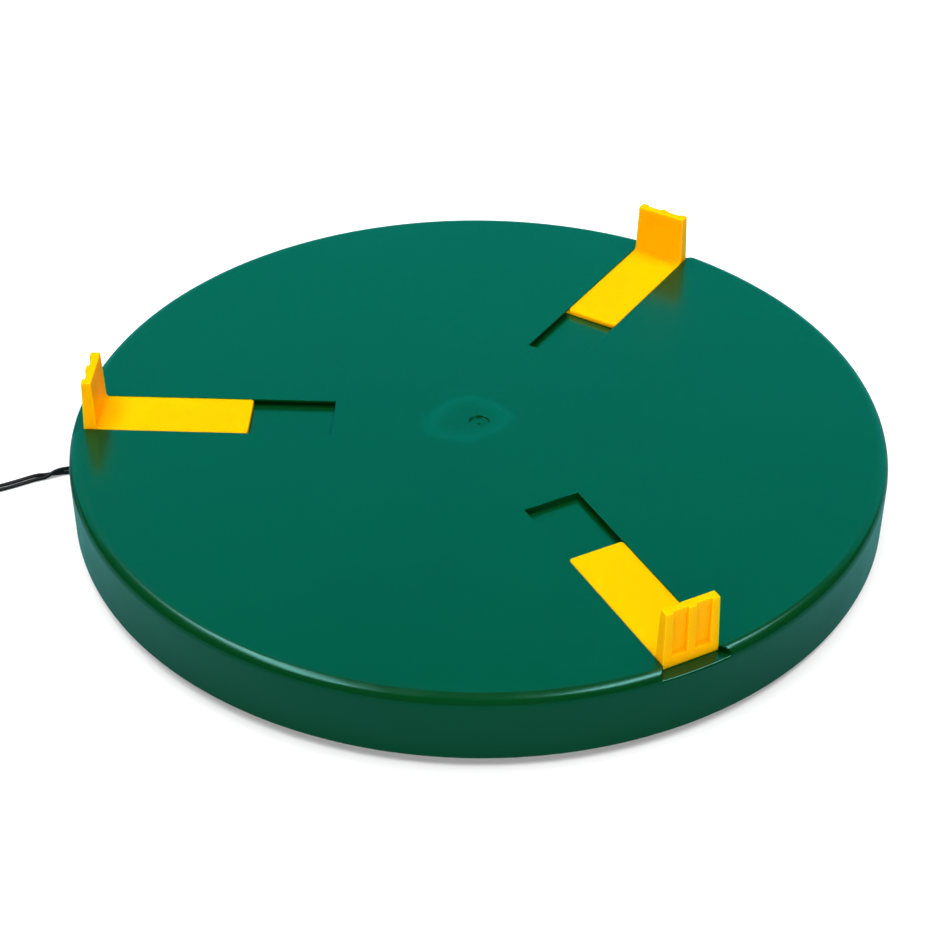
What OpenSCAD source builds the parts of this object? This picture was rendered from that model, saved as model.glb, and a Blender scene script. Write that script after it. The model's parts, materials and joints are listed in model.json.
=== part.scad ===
// Motor-driven turntable for a decorated tree in its stand. A moulded platter turns on six rollers,
// driven through an internal ring gear, and three clamps slide in channels to hold the stand's base.
// Sizes are in millimetres. The origin is on the floor under the turning axis and Z is up.

/* [Platter] */
// Radius of the platter over its skirt
platter_r = 225; // [200:1:270]
// Height of the platter, from the skirt's lower edge to the top face
platter_h = 38; // [38:0.2:46]
// Thickness of the top plate
plate_t = 3; // [2.6:0.1:3.6]
// Thickness of the skirt
skirt_t = 2.4; // [2:0.1:3.2]
// Radius of the round between the top face and the skirt
rim_round = 6; // [5:0.5:8]
// Height of the skirt's lower edge above the floor
skirt_gap = 5.4; // [5.2:0.1:7]
// Thickness of the ribs under the plate
rib_t = 2; // [1.6:0.1:2.6]
// Radius of the dimple at the centre of the top face
dimple_r = 5.8; // [4:0.1:8]
// Depth of the dimple
dimple_depth = 1.2; // [0.6:0.1:1.4]
// Radius of the hub that holds the axle
hub_r = 13; // [10:0.5:18]

/* [Channels] */
// Width of a channel's mouth
channel_w = 32.4; // [27:0.1:39]
// Depth of a channel below the top face
channel_depth = 3.9; // [3.7:0.1:4.7]
// Length of a channel, from the rim to its closed end
channel_len = 144; // [130:1:145]
// Thickness of the lips that hold a clamp down
lip_t = 1.8; // [1.4:0.1:2]
// Reach of each lip over its groove
lip_reach = 3.4; // [2.4:0.1:4.4]
// Thickness of the trough around a channel
trough_t = 2.4; // [2:0.1:3]

/* [Clamps] */
// Length of a clamp, from the plate's inner end to the outer face of the upright
clamp_len = 90; // [75:1:108]
// Distance from the rim to the outer face of an upright at its outer stop
clamp_inset = 7.8; // [6.5:0.1:12]
// Clearance between a clamp and its channel
clamp_gap = 0.3; // [0.2:0.05:0.4]
// Depth of the clamp plate's top below the top face
plate_drop = 0.2; // [0:0.1:0.5]
// Height of an upright above the top face
upright_h = 29.7; // [24:0.1:45]
// Thickness of an upright at its foot
upright_t = 7; // [6:0.1:9]
// Draft of an upright's inner face over its height
upright_draft = 0.5; // [0:0.1:1]
// Draft of an upright's outer face over its height
upright_lean = 1.2; // [0:0.1:1.4]
// Width that an upright loses at each side over its height
upright_taper = 0.8; // [0:0.1:1.5]
// Width of the ribs on an upright's outer face
upright_rib_w = 4.4; // [3:0.1:6]
// Depth of the recesses between those ribs
recess_depth = 2.6; // [1.5:0.1:3]
// Height of the sill under the recesses above the top face
recess_sill = 2.8; // [0:0.1:4]
// Fillet between the plate and the upright
clamp_fillet = 2; // [1:0.1:4]
// Length of the flanges that run in the grooves
flange_len = 73; // [60:1:75]
// Corner radius of the plate's inner end
plate_corner = 1.6; // [0.5:0.1:4]
// Radius of the stop pip on a channel's floor
pip_r = 2; // [1.5:0.1:3]
// Height of the stop pip
pip_h = 1; // [0.6:0.1:1.2]

/* [Base] */
// Distance from the platter's rim in to the base's rim
base_inset = 57; // [50:1:60]
// Thickness of the base's floor
base_t = 2.6; // [2.4:0.1:4]
// Thickness of the base's rim wall
base_wall = 2.4; // [2:0.1:3]
// Height of the base's rim wall
base_rim_h = 15; // [14.5:0.5:18]
// Radius of a rubber foot
foot_r = 9; // [7:0.5:12]
// Thickness of a rubber foot
foot_h = 4; // [3.6:0.1:5]
// Depth that a foot sits in the floor
foot_seat = 1.2; // [0.8:0.1:1.4]
// Distance from the base's rim in to the middle of a foot
foot_inset = 34; // [30:1:50]

/* [Rollers] */
// Number of rollers
roller_n = 6; // [6]
// Radius of a roller
roller_r = 12; // [10:0.5:12]
// Width of a roller
roller_w = 10; // [8:0.5:12]
// Distance from the base's rim in to the middle of a roller
roller_inset = 18; // [17:0.5:24]
// Radius of a roller's pin
roller_pin_r = 1.5; // [1.2:0.1:2]
// Gap between a roller and its track
roller_gap = 0.3; // [0.2:0.05:0.5]
// Gap between a roller and each ear that holds its pin
roller_side_gap = 0.5; // [0.4:0.1:1]
// Thickness of an ear
ear_t = 2.4; // [2:0.1:3]
// Width of an ear
ear_w = 10; // [8:0.5:12]
// Thickness of the bracket's foot under a roller
bracket_t = 1.6; // [1.4:0.1:1.8]

/* [Track] */
// Width of the track between its two lips
track_w = 14; // [13:0.5:16]
// Thickness of the track
track_t = 2; // [1.6:0.1:3]
// Height of the track's lips over the ribs that they grip
track_lip = 1.4; // [1:0.1:1.6]
// Clearance between the track's lips and those ribs
track_fit = 0.15; // [0.1:0.01:0.2]

/* [Drive] */
// Module of the gear teeth
gear_module = 2; // [2]
// Teeth of the ring gear
ring_teeth = 72; // [72]
// Teeth of the pinion
pinion_teeth = 12; // [12]
// Width of the ring gear's teeth
gear_w = 10; // [8:0.5:10]
// Thickness of the ring gear outside its tooth spaces
gear_wall = 3.5; // [3.5:0.1:4]
// Play between the flanks of two teeth in mesh
tooth_play = 0.3; // [0.2:0.05:0.4]
// Radius of the motor's can
motor_r = 25; // [20:0.5:25]
// Height of the motor's can
motor_h = 14; // [12:0.5:14]
// Radius of the motor's shaft
shaft_r = 3.5; // [2.5:0.1:4]
// Direction of the motor and of the lead from the turning axis, in degrees
motor_angle = 178; // [172:1:188]

/* [Axle] */
// Radius of the axle
axle_r = 5; // [4:0.1:6]
// Running clearance around a turning shaft or pin
running_fit = 0.05; // [0.03:0.01:0.08]
// Clearance around a piece that is pressed or screwed in
seat_fit = 0.03; // [0.02:0.01:0.05]
// Wall of the axle's bush
bush_wall = 3; // [2:0.1:4]
// Thickness of the thrust washer
washer_t = 1; // [0.8:0.1:1.5]
// End gap between pieces that turn against each other
end_gap = 0.3; // [0.2:0.05:0.5]
// Thickness of the clip on the axle's lower end
clip_t = 0.9; // [0.8:0.1:1.2]

/* [Lead] */
// Diameter of one insulated wire of the twisted pair
wire_d = 2.2; // [2.2]
// Height of the lead where it passes the base's rim
lead_z = 10.8; // [10.8]
// Length of the plug's body
plug_len = 28; // [24:1:34]
// Width of the plug's body
plug_w = 35; // [30:1:38]
// Length of the tapered relief on the plug
relief_len = 24; // [20:1:40]

/* [Hidden] */
$fn = 96;
// A cut runs this far past the face that it opens
past = 1;

// Colours of the finishes
green = [0, 0.41, 0.33];
yellow = [0.98, 0.8, 0.03];
black = [0.06, 0.06, 0.07];
steel = [0.72, 0.73, 0.75];
grey = [0.35, 0.36, 0.38];
ivory = [0.9, 0.88, 0.8];
brass = [0.75, 0.6, 0.3];

// Heights of the platter
skirt_low = skirt_gap;
top_z = skirt_low + platter_h;
plate_low = top_z - plate_t;
channel_low = top_z - channel_depth;
lip_low = top_z - lip_t;
trough_low = channel_low - trough_t;

// Channels, one for each clamp
channel_angles = [180, 60, -60];
channel_in = platter_r - channel_len;
groove_w = channel_w + 2 * lip_reach;
trough_w = groove_w + 2 * trough_t;

// Clamps, in a frame whose X runs out along the channel
clamp_w = channel_w - 2 * clamp_gap;
clamp_out = platter_r - clamp_inset;
clamp_in = clamp_out - clamp_len;
clamp_low = channel_low + clamp_gap;
clamp_top = top_z - plate_drop;
upright_top = top_z + upright_h;
upright_foot = clamp_out - upright_t;
flange_w = groove_w - 2 * clamp_gap;
flange_t = lip_low - clamp_gap - clamp_low;
clamp_travel = clamp_in - channel_in - clamp_gap;
pip_wall = 3;
pip_x = clamp_in + pip_wall + clamp_gap + pip_r;
pip_slot = clamp_travel + 2 * (pip_r + clamp_gap);

// Base and the pieces that stand on it
base_r = platter_r - base_inset;
base_low = foot_h - foot_seat;
floor_z = base_low + base_t;
foot_pitch_r = base_r - foot_inset;
foot_n = 6;
foot_fit = 0.1;
base_rib_h = 2;
base_ring_rib_h = 1.5;
base_rib_angles = [0, 60, 120, 240, 300];

// Track and rollers
roller_pitch_r = base_r - roller_inset;
track_clear = 0.7;
rib_low = trough_low - track_lip - track_clear;
track_low = rib_low - track_t;
roller_z = track_low - roller_gap - roller_r;
ear_x = roller_w / 2 + roller_side_gap + ear_t / 2;
roller_step = 360 / roller_n;
bracket_reach = ear_x + ear_t / 2;
bracket_peg_r = 3;
snap_grip = 0.4;

// Gears
pressure_angle = 20;
ring_pitch_r = gear_module * ring_teeth / 2;
pinion_pitch_r = gear_module * pinion_teeth / 2;
ring_tip_r = ring_pitch_r - gear_module;
ring_root_r = ring_pitch_r + 1.25 * gear_module;
ring_out_r = ring_root_r + gear_wall;
pinion_tip_r = pinion_pitch_r + gear_module;
pinion_root_r = pinion_pitch_r - 1.25 * gear_module;
gear_drop = 0.6;
gear_top = rib_low - gear_drop;
gear_low = gear_top - gear_w;
gear_ear_t = 3;
gear_ear_r = 6;
gear_ear_x = ring_out_r + gear_ear_r;
gear_ear_angles = [0, 120, 240];
pinion_side = 0.5;
pinion_collar_r = 7;

// Motor
motor_x = ring_pitch_r - pinion_pitch_r;
motor_top = floor_z + motor_h;
motor_lid_t = 1;
motor_boss_r = 6;
motor_boss_h = 2;
motor_ear_r = 5.5;
motor_ear_y = motor_r + 5;
motor_post_r = 4.5;
hood_len = 8;
hood_w = 11;
hood_h = 9;

// Axle, bush and clip
hub_low = rib_low - 2;
bush_r = axle_r + bush_wall;
bush_flange_r = bush_r + 3;
bush_flange_t = 1.5;
washer_top = hub_low - end_gap;
bush_top = washer_top - washer_t;
post_top = bush_top - bush_flange_t;
post_r = bush_r + 5;
post_flange_r = post_r + 5;
post_flange_t = 2;
bush_low = floor_z + 1.6;
clip_top = bush_low - end_gap;
clip_groove_r = axle_r - 1;
clip_r = bush_r - 0.5;
axle_low = clip_top - clip_t - 1.6;

// Screws: shank and head radii, head height, and the play of a shank in the piece that it passes through
small_screw = [1.45, 3, 2.2];
motor_screw = [1.95, 3.4, 2.2];
screw_play = 0.25;

// Lead, twisted from two wires
cord_d = 2 * wire_d;
cord_r = cord_d / 2;
wire_gap = 0.2;
cord_fit = 0.1;
grommet_neck_r = cord_r + 1.6;
grommet_flange_r = grommet_neck_r + 1.4;
grommet_flange = 3.6;
grommet_nose = 20;
grommet_in = base_r - base_wall - grommet_flange - 0.2;
grommet_out = base_r + 2 + grommet_nose;
clamp_bar_x = grommet_in - 22;
clamp_bar_w = 8;
clamp_bar_len = 26;
clamp_bar_t = 3;
clamp_post_y = 9;
clamp_post_r = 3.4;
clamp_bar_low = lead_z + wire_d / 2 + cord_fit;

// Coil of the spare length: two layers that spiral in and out again
nose_end = polar(grommet_out, motor_angle, 0);
coil_middle = [nose_end[0] - 127.1, nose_end[1] + 2.4];
coil_pitch = cord_d + 0.5;
coil_in_r = 12.3;
layer_turns = 4.625;
coil_out_r = coil_in_r + coil_pitch * layer_turns;
tie_t = 0.7;
tie_w = 6;
coil_low_z = tie_t + cord_r + cord_fit;
coil_high_z = coil_low_z + coil_pitch;
coil_lead_in = [coil_middle[0] + cord_d, coil_middle[1] - coil_out_r, coil_low_z];
coil_lead_out = 9;
rings_per_turn = 24;

// Steps of the free lead along its middle, from under the grommet's nose to the start of the coil
lead_steps = [
    [-7.1, 0.2, 10.2], [-14.1, 0.1, 8.2], [-21.1, -0.6, 5.3], [-28.1, -1.9, 3], [-36.1, -4, 2.2],
    [-44.1, -6.6, 2.2], [-52.1, -9.6, 2.2], [-59.1, -13.2, 2.2], [-66.1, -17.3, 2.2], [-73.1, -21.4, 2.2],
    [-80.1, -25, 2.2], [-88.1, -28.4, 2.2], [-97.1, -31.1, 2.5], [-106.1, -32.4, 2.9]
];

// Plug at the far end of the coil
plug_x = coil_middle[0] - coil_out_r;
relief_y = coil_middle[1] + coil_lead_out;
plug_y = relief_y + relief_len;
plug_t = 2 * coil_high_z;
plug_neck_w = 15;
pin_r = 2;
pin_len = 19;
pin_pitch = 19;

// Unit vector along v
function unit(v) = v / norm(v);

// Point at radius r and angle a, at height z
function polar(r, a, z) = [r * cos(a), r * sin(a), z];

// Direction of a path at its point i
function heading(path, i) = unit(path[min(i + 1, len(path) - 1)] - path[max(i - 1, 0)]);

// Ring of points around a path's point, square to the path
function ring(path, i, r, sides) =
    let(along = heading(path, i), side = unit(cross(along, [0, 0, 1])), up = cross(side, along))
    [for (k = [0 : sides - 1]) path[i] + r * (cos(360 * k / sides) * side + sin(360 * k / sides) * up)];

// Two triangles of a tube's wall between ring i and the next, at side k
function wall(i, k, sides) =
    let(a = i * sides + k, b = i * sides + (k + 1) % sides)
    [[a, a + sides, b], [b, a + sides, b + sides]];

// Closed tube along a path
module tube(path, r, sides) {
    last = len(path) - 1;
    points = [for (i = [0 : last], p = ring(path, i, r, sides)) p];
    walls = [for (i = [0 : last - 1], k = [0 : sides - 1], f = wall(i, k, sides)) f];
    near = [for (k = [1 : sides - 2]) [0, k, k + 1]];
    far = [for (k = [1 : sides - 2]) [last * sides, last * sides + k + 1, last * sides + k]];
    polyhedron(points = points, faces = concat(near, walls, far));
}

// Involute of an angle, in degrees
function involute(a) = tan(a) * 180 / PI - a;

// Half the angle that a tooth fills at radius r, with some play added to its flanks
function tooth_half(r, teeth, play) =
    let(pitch_r = gear_module * teeth / 2, base = pitch_r * cos(pressure_angle))
    90 / teeth + (play / pitch_r) * 180 / PI + involute(pressure_angle) - involute(acos(min(1, base / r)));

// Outline of a gear with its first tooth along +X
function gear_outline(teeth, root_r, tip_r, play, steps) = [
    for (k = [0 : teeth - 1], side = [-1, 1], i = [0 : steps])
        let(share = (side < 0 ? i : steps - i) / steps)
        let(r = root_r + (tip_r - root_r) * share)
        let(a = 360 * k / teeth + side * tooth_half(r, teeth, play))
        [r * cos(a), r * sin(a)]
];

// Solid ring between two radii and two heights
module band(r_in, r_out, low, high) {
    translate([0, 0, low])
        difference() {
            cylinder(r = r_out, h = high - low);
            translate([0, 0, -past]) cylinder(r = r_in, h = high - low + 2 * past);
        }
}

// Upright cylinder between two heights
module post(r, low, high) {
    translate([0, 0, low]) cylinder(r = r, h = high - low);
}

// Screw with its head at the top, its seat at z = 0
module screw(size, shank) {
    cylinder(r = size[1], h = size[2]);
    translate([0, 0, -shank]) cylinder(r = size[0], h = shank + size[2] / 2);
}

// Half-section of a disc with a rounded upper edge, from the axis out
module rounded_section(r, low, high, round) {
    translate([0, low]) square([r - round, high - low]);
    translate([0, low]) square([r, high - low - round]);
    translate([r - round, high - round]) circle(r = round);
}

// Outside of the platter as a solid
module platter_outside() {
    rotate_extrude() rounded_section(platter_r, skirt_low, top_z, rim_round);
}

// Plate and skirt, open below
module platter_shell() {
    difference() {
        platter_outside();
        rotate_extrude() rounded_section(platter_r - skirt_t, skirt_low - past, plate_low, plate_t);
    }
}

// Troughs that the channels are sunk in
module troughs() {
    intersection() {
        platter_outside();
        for (a = channel_angles)
            rotate(a)
                translate([channel_in - trough_t, -trough_w / 2, trough_low])
                    cube([channel_len + trough_t + past, trough_w, plate_low - trough_low + plate_t / 2]);
    }
}

// Channels with an undercut groove along each side
module channel_cuts() {
    for (a = channel_angles)
        rotate(a)
            translate([channel_in, 0, channel_low]) {
                translate([0, -channel_w / 2, 0]) cube([channel_len + past, channel_w, channel_depth + past]);
                translate([0, -groove_w / 2, 0]) cube([channel_len + past, groove_w, lip_low - channel_low]);
            }
}

// Radial rib under the plate
module radial_rib(r_from, r_to, low) {
    translate([r_from, -rib_t / 2, low]) cube([r_to - r_from, rib_t, plate_low - low + plate_t / 2]);
}

// Ribs, hub and bosses under the plate
module platter_underside() {
    gear_rib = ring_out_r - gear_wall / 2;
    track_edge = track_w / 2;
    overlap = 0.5;
    low = gear_top + 2;
    step = 18;
    band(gear_rib - rib_t / 2, gear_rib + rib_t / 2, gear_top, plate_low + overlap);
    band(roller_pitch_r - track_edge, roller_pitch_r - track_edge + rib_t, rib_low, plate_low + overlap);
    band(roller_pitch_r + track_edge - rib_t, roller_pitch_r + track_edge, rib_low, plate_low + overlap);
    post(hub_r, hub_low, plate_low + overlap);
    for (middle = gear_ear_angles) {
        for (k = [-2 : 2])
            rotate(middle + step * k) {
                radial_rib(hub_r - overlap, gear_rib, low);
                radial_rib(gear_rib, roller_pitch_r - track_edge + overlap, low);
                radial_rib(roller_pitch_r + track_edge - overlap, platter_r - skirt_t + overlap, low);
            }
        rotate(middle) translate([gear_ear_x, 0, 0]) post(gear_ear_r - 1, gear_top, plate_low + overlap);
    }
}

module platter() {
    stub_r = 0.8;
    sunk = 0.5;
    color(green) {
        difference() {
            union() {
                platter_shell();
                troughs();
                platter_underside();
            }
            channel_cuts();
            post(axle_r + seat_fit, hub_low - past, plate_low - seat_fit);
            post(dimple_r, top_z - dimple_depth, top_z + past);
            for (a = gear_ear_angles)
                rotate(a)
                    translate([gear_ear_x, 0, 0]) post(small_screw[0] + seat_fit, gear_top - past, plate_low);
        }
        // Stop pips, and the stub left in the dimple by the moulding
        for (a = channel_angles)
            rotate(a) translate([pip_x, 0, 0]) post(pip_r, channel_low - sunk, channel_low + pip_h);
        post(stub_r, top_z - dimple_depth - sunk, top_z - dimple_depth / 2);
    }
}

module track_ring() {
    half = track_w / 2 + track_fit;
    edge = half + track_t;
    color(ivory)
        rotate_extrude()
            translate([roller_pitch_r, track_low])
                difference() {
                    translate([-edge, 0]) square([2 * edge, track_t + track_lip]);
                    translate([-half, track_t]) square([2 * half, track_lip + past]);
                }
}

module ring_gear() {
    color(ivory)
        difference() {
            union() {
                post(ring_out_r, gear_low, gear_top);
                for (a = gear_ear_angles)
                    rotate(a) {
                        translate([gear_ear_x, 0, 0]) post(gear_ear_r, gear_top - gear_ear_t, gear_top);
                        translate([ring_root_r, -gear_ear_r, gear_top - gear_ear_t])
                            cube([gear_ear_x - ring_root_r, 2 * gear_ear_r, gear_ear_t]);
                    }
            }
            translate([0, 0, gear_low - past])
                rotate(motor_angle)
                    linear_extrude(gear_w + 2 * past)
                        polygon(gear_outline(ring_teeth, ring_tip_r, ring_root_r, tooth_play / 2, 2));
            for (a = gear_ear_angles)
                rotate(a)
                    translate([gear_ear_x, 0, 0])
                        post(small_screw[0] + screw_play, gear_low, gear_top + past);
        }
}

module ring_gear_screws() {
    color(steel)
        for (a = gear_ear_angles)
            rotate(a)
                translate([gear_ear_x, 0, gear_top - gear_ear_t])
                    mirror([0, 0, 1]) screw(small_screw, plate_low - gear_top + gear_ear_t - past);
}

module platter_axle() {
    color(steel)
        difference() {
            post(axle_r, axle_low, plate_low - 2 * seat_fit);
            band(clip_groove_r, axle_r + past, clip_top - clip_t - seat_fit, clip_top + seat_fit);
        }
}

module axle_clip() {
    mouth = 1.5 * clip_groove_r;
    color(steel)
        difference() {
            band(clip_groove_r + seat_fit, clip_r, clip_top - clip_t, clip_top);
            translate([0, -mouth / 2, clip_top - clip_t - past])
                cube([clip_r + past, mouth, clip_t + 2 * past]);
        }
}

// Outline of a clamp from its side: plate, upright and the fillet between them
module clamp_side() {
    polygon([
        [clamp_in, clamp_low],
        [clamp_out, clamp_low],
        [clamp_out, top_z],
        [clamp_out - upright_lean, upright_top],
        [upright_foot + upright_draft, upright_top],
        [upright_foot, clamp_top],
        [clamp_in, clamp_top]
    ]);
    difference() {
        translate([upright_foot - clamp_fillet, clamp_top])
            square([clamp_fillet + upright_draft, clamp_fillet]);
        translate([upright_foot - clamp_fillet, clamp_top + clamp_fillet]) circle(r = clamp_fillet);
    }
}

// Outline of a clamp from its end, narrowing up the upright
module clamp_end() {
    half = clamp_w / 2;
    polygon([
        [-half, clamp_low - past],
        [half, clamp_low - past],
        [half, clamp_top],
        [half - upright_taper, upright_top + past],
        [upright_taper - half, upright_top + past],
        [-half, clamp_top]
    ]);
}

// Outline of a plate from above, with round corners at its inner end
module rounded_end(width, length) {
    translate([plate_corner, -width / 2]) square([length - plate_corner, width]);
    translate([0, plate_corner - width / 2]) square([length, width - 2 * plate_corner]);
    for (side = [-1, 1])
        translate([plate_corner, side * (width / 2 - plate_corner)]) circle(r = plate_corner);
}

// Recesses between the three ribs on an upright's outer face
module clamp_recesses() {
    recess_w = (clamp_w - 3 * upright_rib_w) / 2 - upright_taper / 2;
    for (side = [-1, 1])
        translate([clamp_out - recess_depth, side * (upright_rib_w + recess_w) / 2, top_z + recess_sill])
            translate([0, -recess_w / 2, 0]) cube([recess_depth + past, recess_w, upright_h + past]);
}

// Clamp in its channel's frame, with a slot underneath that the stop pip runs in
module clamp() {
    color(yellow)
        difference() {
            union() {
                intersection() {
                    rotate([90, 0, 0]) linear_extrude(clamp_w + past, center = true) clamp_side();
                    translate([clamp_in - past, 0, 0])
                        rotate([90, 0, 90]) linear_extrude(clamp_len + 2 * past) clamp_end();
                    translate([clamp_in, 0, 0])
                        linear_extrude(upright_top + past) rounded_end(clamp_w, clamp_len);
                }
                translate([clamp_in, 0, clamp_low])
                    linear_extrude(flange_t) rounded_end(flange_w, flange_len);
            }
            clamp_recesses();
            translate([clamp_in + pip_wall, -pip_r - clamp_gap, clamp_low - past])
                cube([pip_slot, 2 * (pip_r + clamp_gap), pip_h + past]);
        }
}

module clamp_left() {
    rotate(channel_angles[0]) clamp();
}

module clamp_rear() {
    rotate(channel_angles[1]) clamp();
}

module clamp_front() {
    rotate(channel_angles[2]) clamp();
}

// Child pieces at each roller, in a frame whose X runs out along its pin
module at_rollers() {
    for (k = [0 : roller_n - 1])
        rotate(roller_step * (k + 0.5)) translate([roller_pitch_r, 0, 0]) children();
}

// Cylinder along X around a roller's pin
module along_pin(r, x_from, x_to) {
    translate([x_from, 0, roller_z]) rotate([0, 90, 0]) cylinder(r = r, h = x_to - x_from);
}

// Bracket with two ears that a roller's pin snaps into from above, and a peg through the base's floor
module roller_bracket() {
    snap_w = 2 * roller_pin_r - snap_grip;
    post(bracket_peg_r, base_low, floor_z + bracket_t / 2);
    translate([-bracket_reach, -ear_w / 2, floor_z]) cube([2 * bracket_reach, ear_w, bracket_t]);
    for (side = [-1, 1])
        difference() {
            union() {
                translate([side * ear_x - ear_t / 2, -ear_w / 2, floor_z])
                    cube([ear_t, ear_w, roller_z - floor_z]);
                along_pin(ear_w / 2, side * ear_x - ear_t / 2, side * ear_x + ear_t / 2);
            }
            along_pin(roller_pin_r + seat_fit, side * ear_x - ear_t, side * ear_x + ear_t);
            translate([side * ear_x - ear_t, -snap_w / 2, roller_z]) cube([2 * ear_t, snap_w, ear_w]);
        }
}

// Child pieces in the frame of the motor and the lead, whose X runs out along them
module along_lead() {
    rotate(motor_angle) children();
}

// Posts that the motor's ears are screwed to
module motor_posts() {
    for (side = [-1, 1])
        translate([motor_x, side * motor_ear_y, 0])
            difference() {
                post(motor_post_r, floor_z - base_t / 2, motor_top);
                post(motor_screw[0] + seat_fit, floor_z + 1, motor_top + past);
            }
}

// Saddle and posts that the lead's clamp bar closes on
module cord_clamp_seat() {
    saddle_w = 2 * wire_d + 1;
    translate([clamp_bar_x - clamp_bar_w / 2, -saddle_w / 2, floor_z - base_t / 2])
        cube([clamp_bar_w, saddle_w, lead_z - wire_d / 2 - cord_fit - floor_z + base_t / 2]);
    for (side = [-1, 1])
        translate([clamp_bar_x, side * clamp_post_y, 0])
            difference() {
                post(clamp_post_r, floor_z - base_t / 2, clamp_bar_low);
                post(small_screw[0] + seat_fit, floor_z + 0.4, clamp_bar_low + past);
            }
}

// Low ribs that stiffen the base's floor
module base_ribs() {
    ring_rib_r = motor_x + motor_r + hood_len + 6;
    start = post_flange_r + 1;
    low = floor_z - base_t / 2;
    band(ring_rib_r - rib_t, ring_rib_r, low, floor_z + base_ring_rib_h);
    for (a = base_rib_angles)
        rotate(a)
            translate([start, -rib_t / 2, low])
                cube([base_r - base_wall / 2 - start, rib_t, floor_z + base_rib_h - low]);
}

// Child pieces at each foot
module at_feet() {
    for (k = [0 : foot_n - 1])
        rotate(360 * k / foot_n) translate([foot_pitch_r, 0, 0]) children();
}

module base_tray() {
    color(grey)
        difference() {
            union() {
                post(base_r, base_low, floor_z);
                band(base_r - base_wall, base_r, base_low, base_low + base_rim_h);
                base_ribs();
                along_lead() {
                    motor_posts();
                    cord_clamp_seat();
                }
            }
            post(post_r + seat_fit, base_low - past, floor_z + past);
            at_rollers() post(bracket_peg_r + seat_fit, base_low - past, floor_z + past);
            at_feet() post(foot_r + foot_fit, base_low - past, foot_h);
            along_lead()
                translate([base_r - 3 * base_wall, 0, lead_z])
                    rotate([0, 90, 0]) cylinder(r = grommet_neck_r + seat_fit, h = 6 * base_wall);
        }
}

// Post for the axle's bush, pressed through the base's floor up to a flange
module bearing_post() {
    color(grey)
        difference() {
            union() {
                post(post_r, base_low, post_top);
                post(post_flange_r, floor_z, floor_z + post_flange_t);
            }
            post(bush_r + seat_fit, base_low - past, post_top + past);
        }
}

module roller_brackets() {
    color(grey) at_rollers() roller_bracket();
}

module axle_bush() {
    color(brass) {
        band(axle_r + running_fit, bush_r, bush_low, bush_top);
        band(axle_r + running_fit, bush_flange_r, post_top, bush_top);
    }
}

module thrust_washer() {
    color(ivory) band(axle_r + running_fit, bush_flange_r, bush_top, washer_top);
}

module rubber_feet() {
    edge = 1;
    color(black)
        at_feet() {
            cylinder(r1 = foot_r - edge, r2 = foot_r, h = edge);
            post(foot_r, edge, foot_h);
        }
}

module roller_axles() {
    color(steel) at_rollers() along_pin(roller_pin_r, -bracket_reach, bracket_reach);
}

// Half-section of a roller: hub, web and rim
module roller_section() {
    bore = roller_pin_r + running_fit;
    hub = roller_pin_r + 2.5;
    rim = roller_r - 2.8;
    web = roller_w / 2 - 3;
    edge = 1;
    half = roller_w / 2;
    polygon([
        [bore, -half], [hub, -half], [hub, -web], [rim, -web], [rim, -half],
        [roller_r - edge, -half], [roller_r, edge - half], [roller_r, half - edge], [roller_r - edge, half],
        [rim, half], [rim, web], [hub, web], [hub, half], [bore, half]
    ]);
}

module roller(k) {
    color(ivory)
        rotate(roller_step * (k - 0.5))
            translate([roller_pitch_r, 0, roller_z])
                rotate([0, 90, 0]) rotate_extrude() roller_section();
}

module motor_case() {
    color(steel)
        along_lead() {
            translate([motor_x, 0, 0]) post(motor_r, floor_z, motor_top);
            translate([motor_x, -hood_w / 2, floor_z]) cube([motor_r + hood_len, hood_w, hood_h]);
        }
}

module motor_lid() {
    lid_top = motor_top + motor_lid_t;
    color(grey)
        along_lead()
            translate([motor_x, 0, 0])
                difference() {
                    union() {
                        post(motor_r, motor_top, lid_top);
                        post(motor_boss_r, motor_top, lid_top + motor_boss_h);
                        for (side = [-1, 1])
                            translate([0, side * motor_ear_y, 0]) post(motor_ear_r, motor_top, lid_top);
                        translate([-motor_ear_r, -motor_ear_y, motor_top])
                            cube([2 * motor_ear_r, 2 * motor_ear_y, motor_lid_t]);
                    }
                    post(shaft_r + running_fit, motor_top - past, lid_top + motor_boss_h + past);
                    for (side = [-1, 1])
                        translate([0, side * motor_ear_y, 0])
                            post(motor_screw[0] + screw_play, motor_top - past, lid_top + past);
                }
}

module motor_screws() {
    shank = 8;
    color(steel)
        along_lead()
            for (side = [-1, 1])
                translate([motor_x, side * motor_ear_y, motor_top + motor_lid_t]) screw(motor_screw, shank);
}

module motor_shaft() {
    color(steel) along_lead() translate([motor_x, 0, 0]) post(shaft_r, motor_top + end_gap, gear_top);
}

module drive_pinion() {
    tooth_low = gear_low + pinion_side;
    tooth_h = gear_w - 2 * pinion_side;
    collar_low = motor_top + motor_lid_t + motor_boss_h + pinion_side;
    color(ivory)
        along_lead()
            translate([motor_x, 0, 0])
                difference() {
                    union() {
                        translate([0, 0, tooth_low])
                            linear_extrude(tooth_h)
                                polygon(gear_outline(
                                    pinion_teeth, pinion_root_r, pinion_tip_r, -tooth_play / 2, 5));
                        post(pinion_collar_r, collar_low, tooth_low + past);
                    }
                    post(shaft_r + seat_fit, collar_low - past, gear_top);
                }
}

module cord_clamp() {
    color(black)
        along_lead()
            difference() {
                translate([clamp_bar_x - clamp_bar_w / 2, -clamp_bar_len / 2, clamp_bar_low])
                    cube([clamp_bar_w, clamp_bar_len, clamp_bar_t]);
                for (side = [-1, 1])
                    translate([clamp_bar_x, side * clamp_post_y, clamp_bar_low])
                        post(small_screw[0] + screw_play, -past, clamp_bar_t + past);
            }
}

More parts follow.
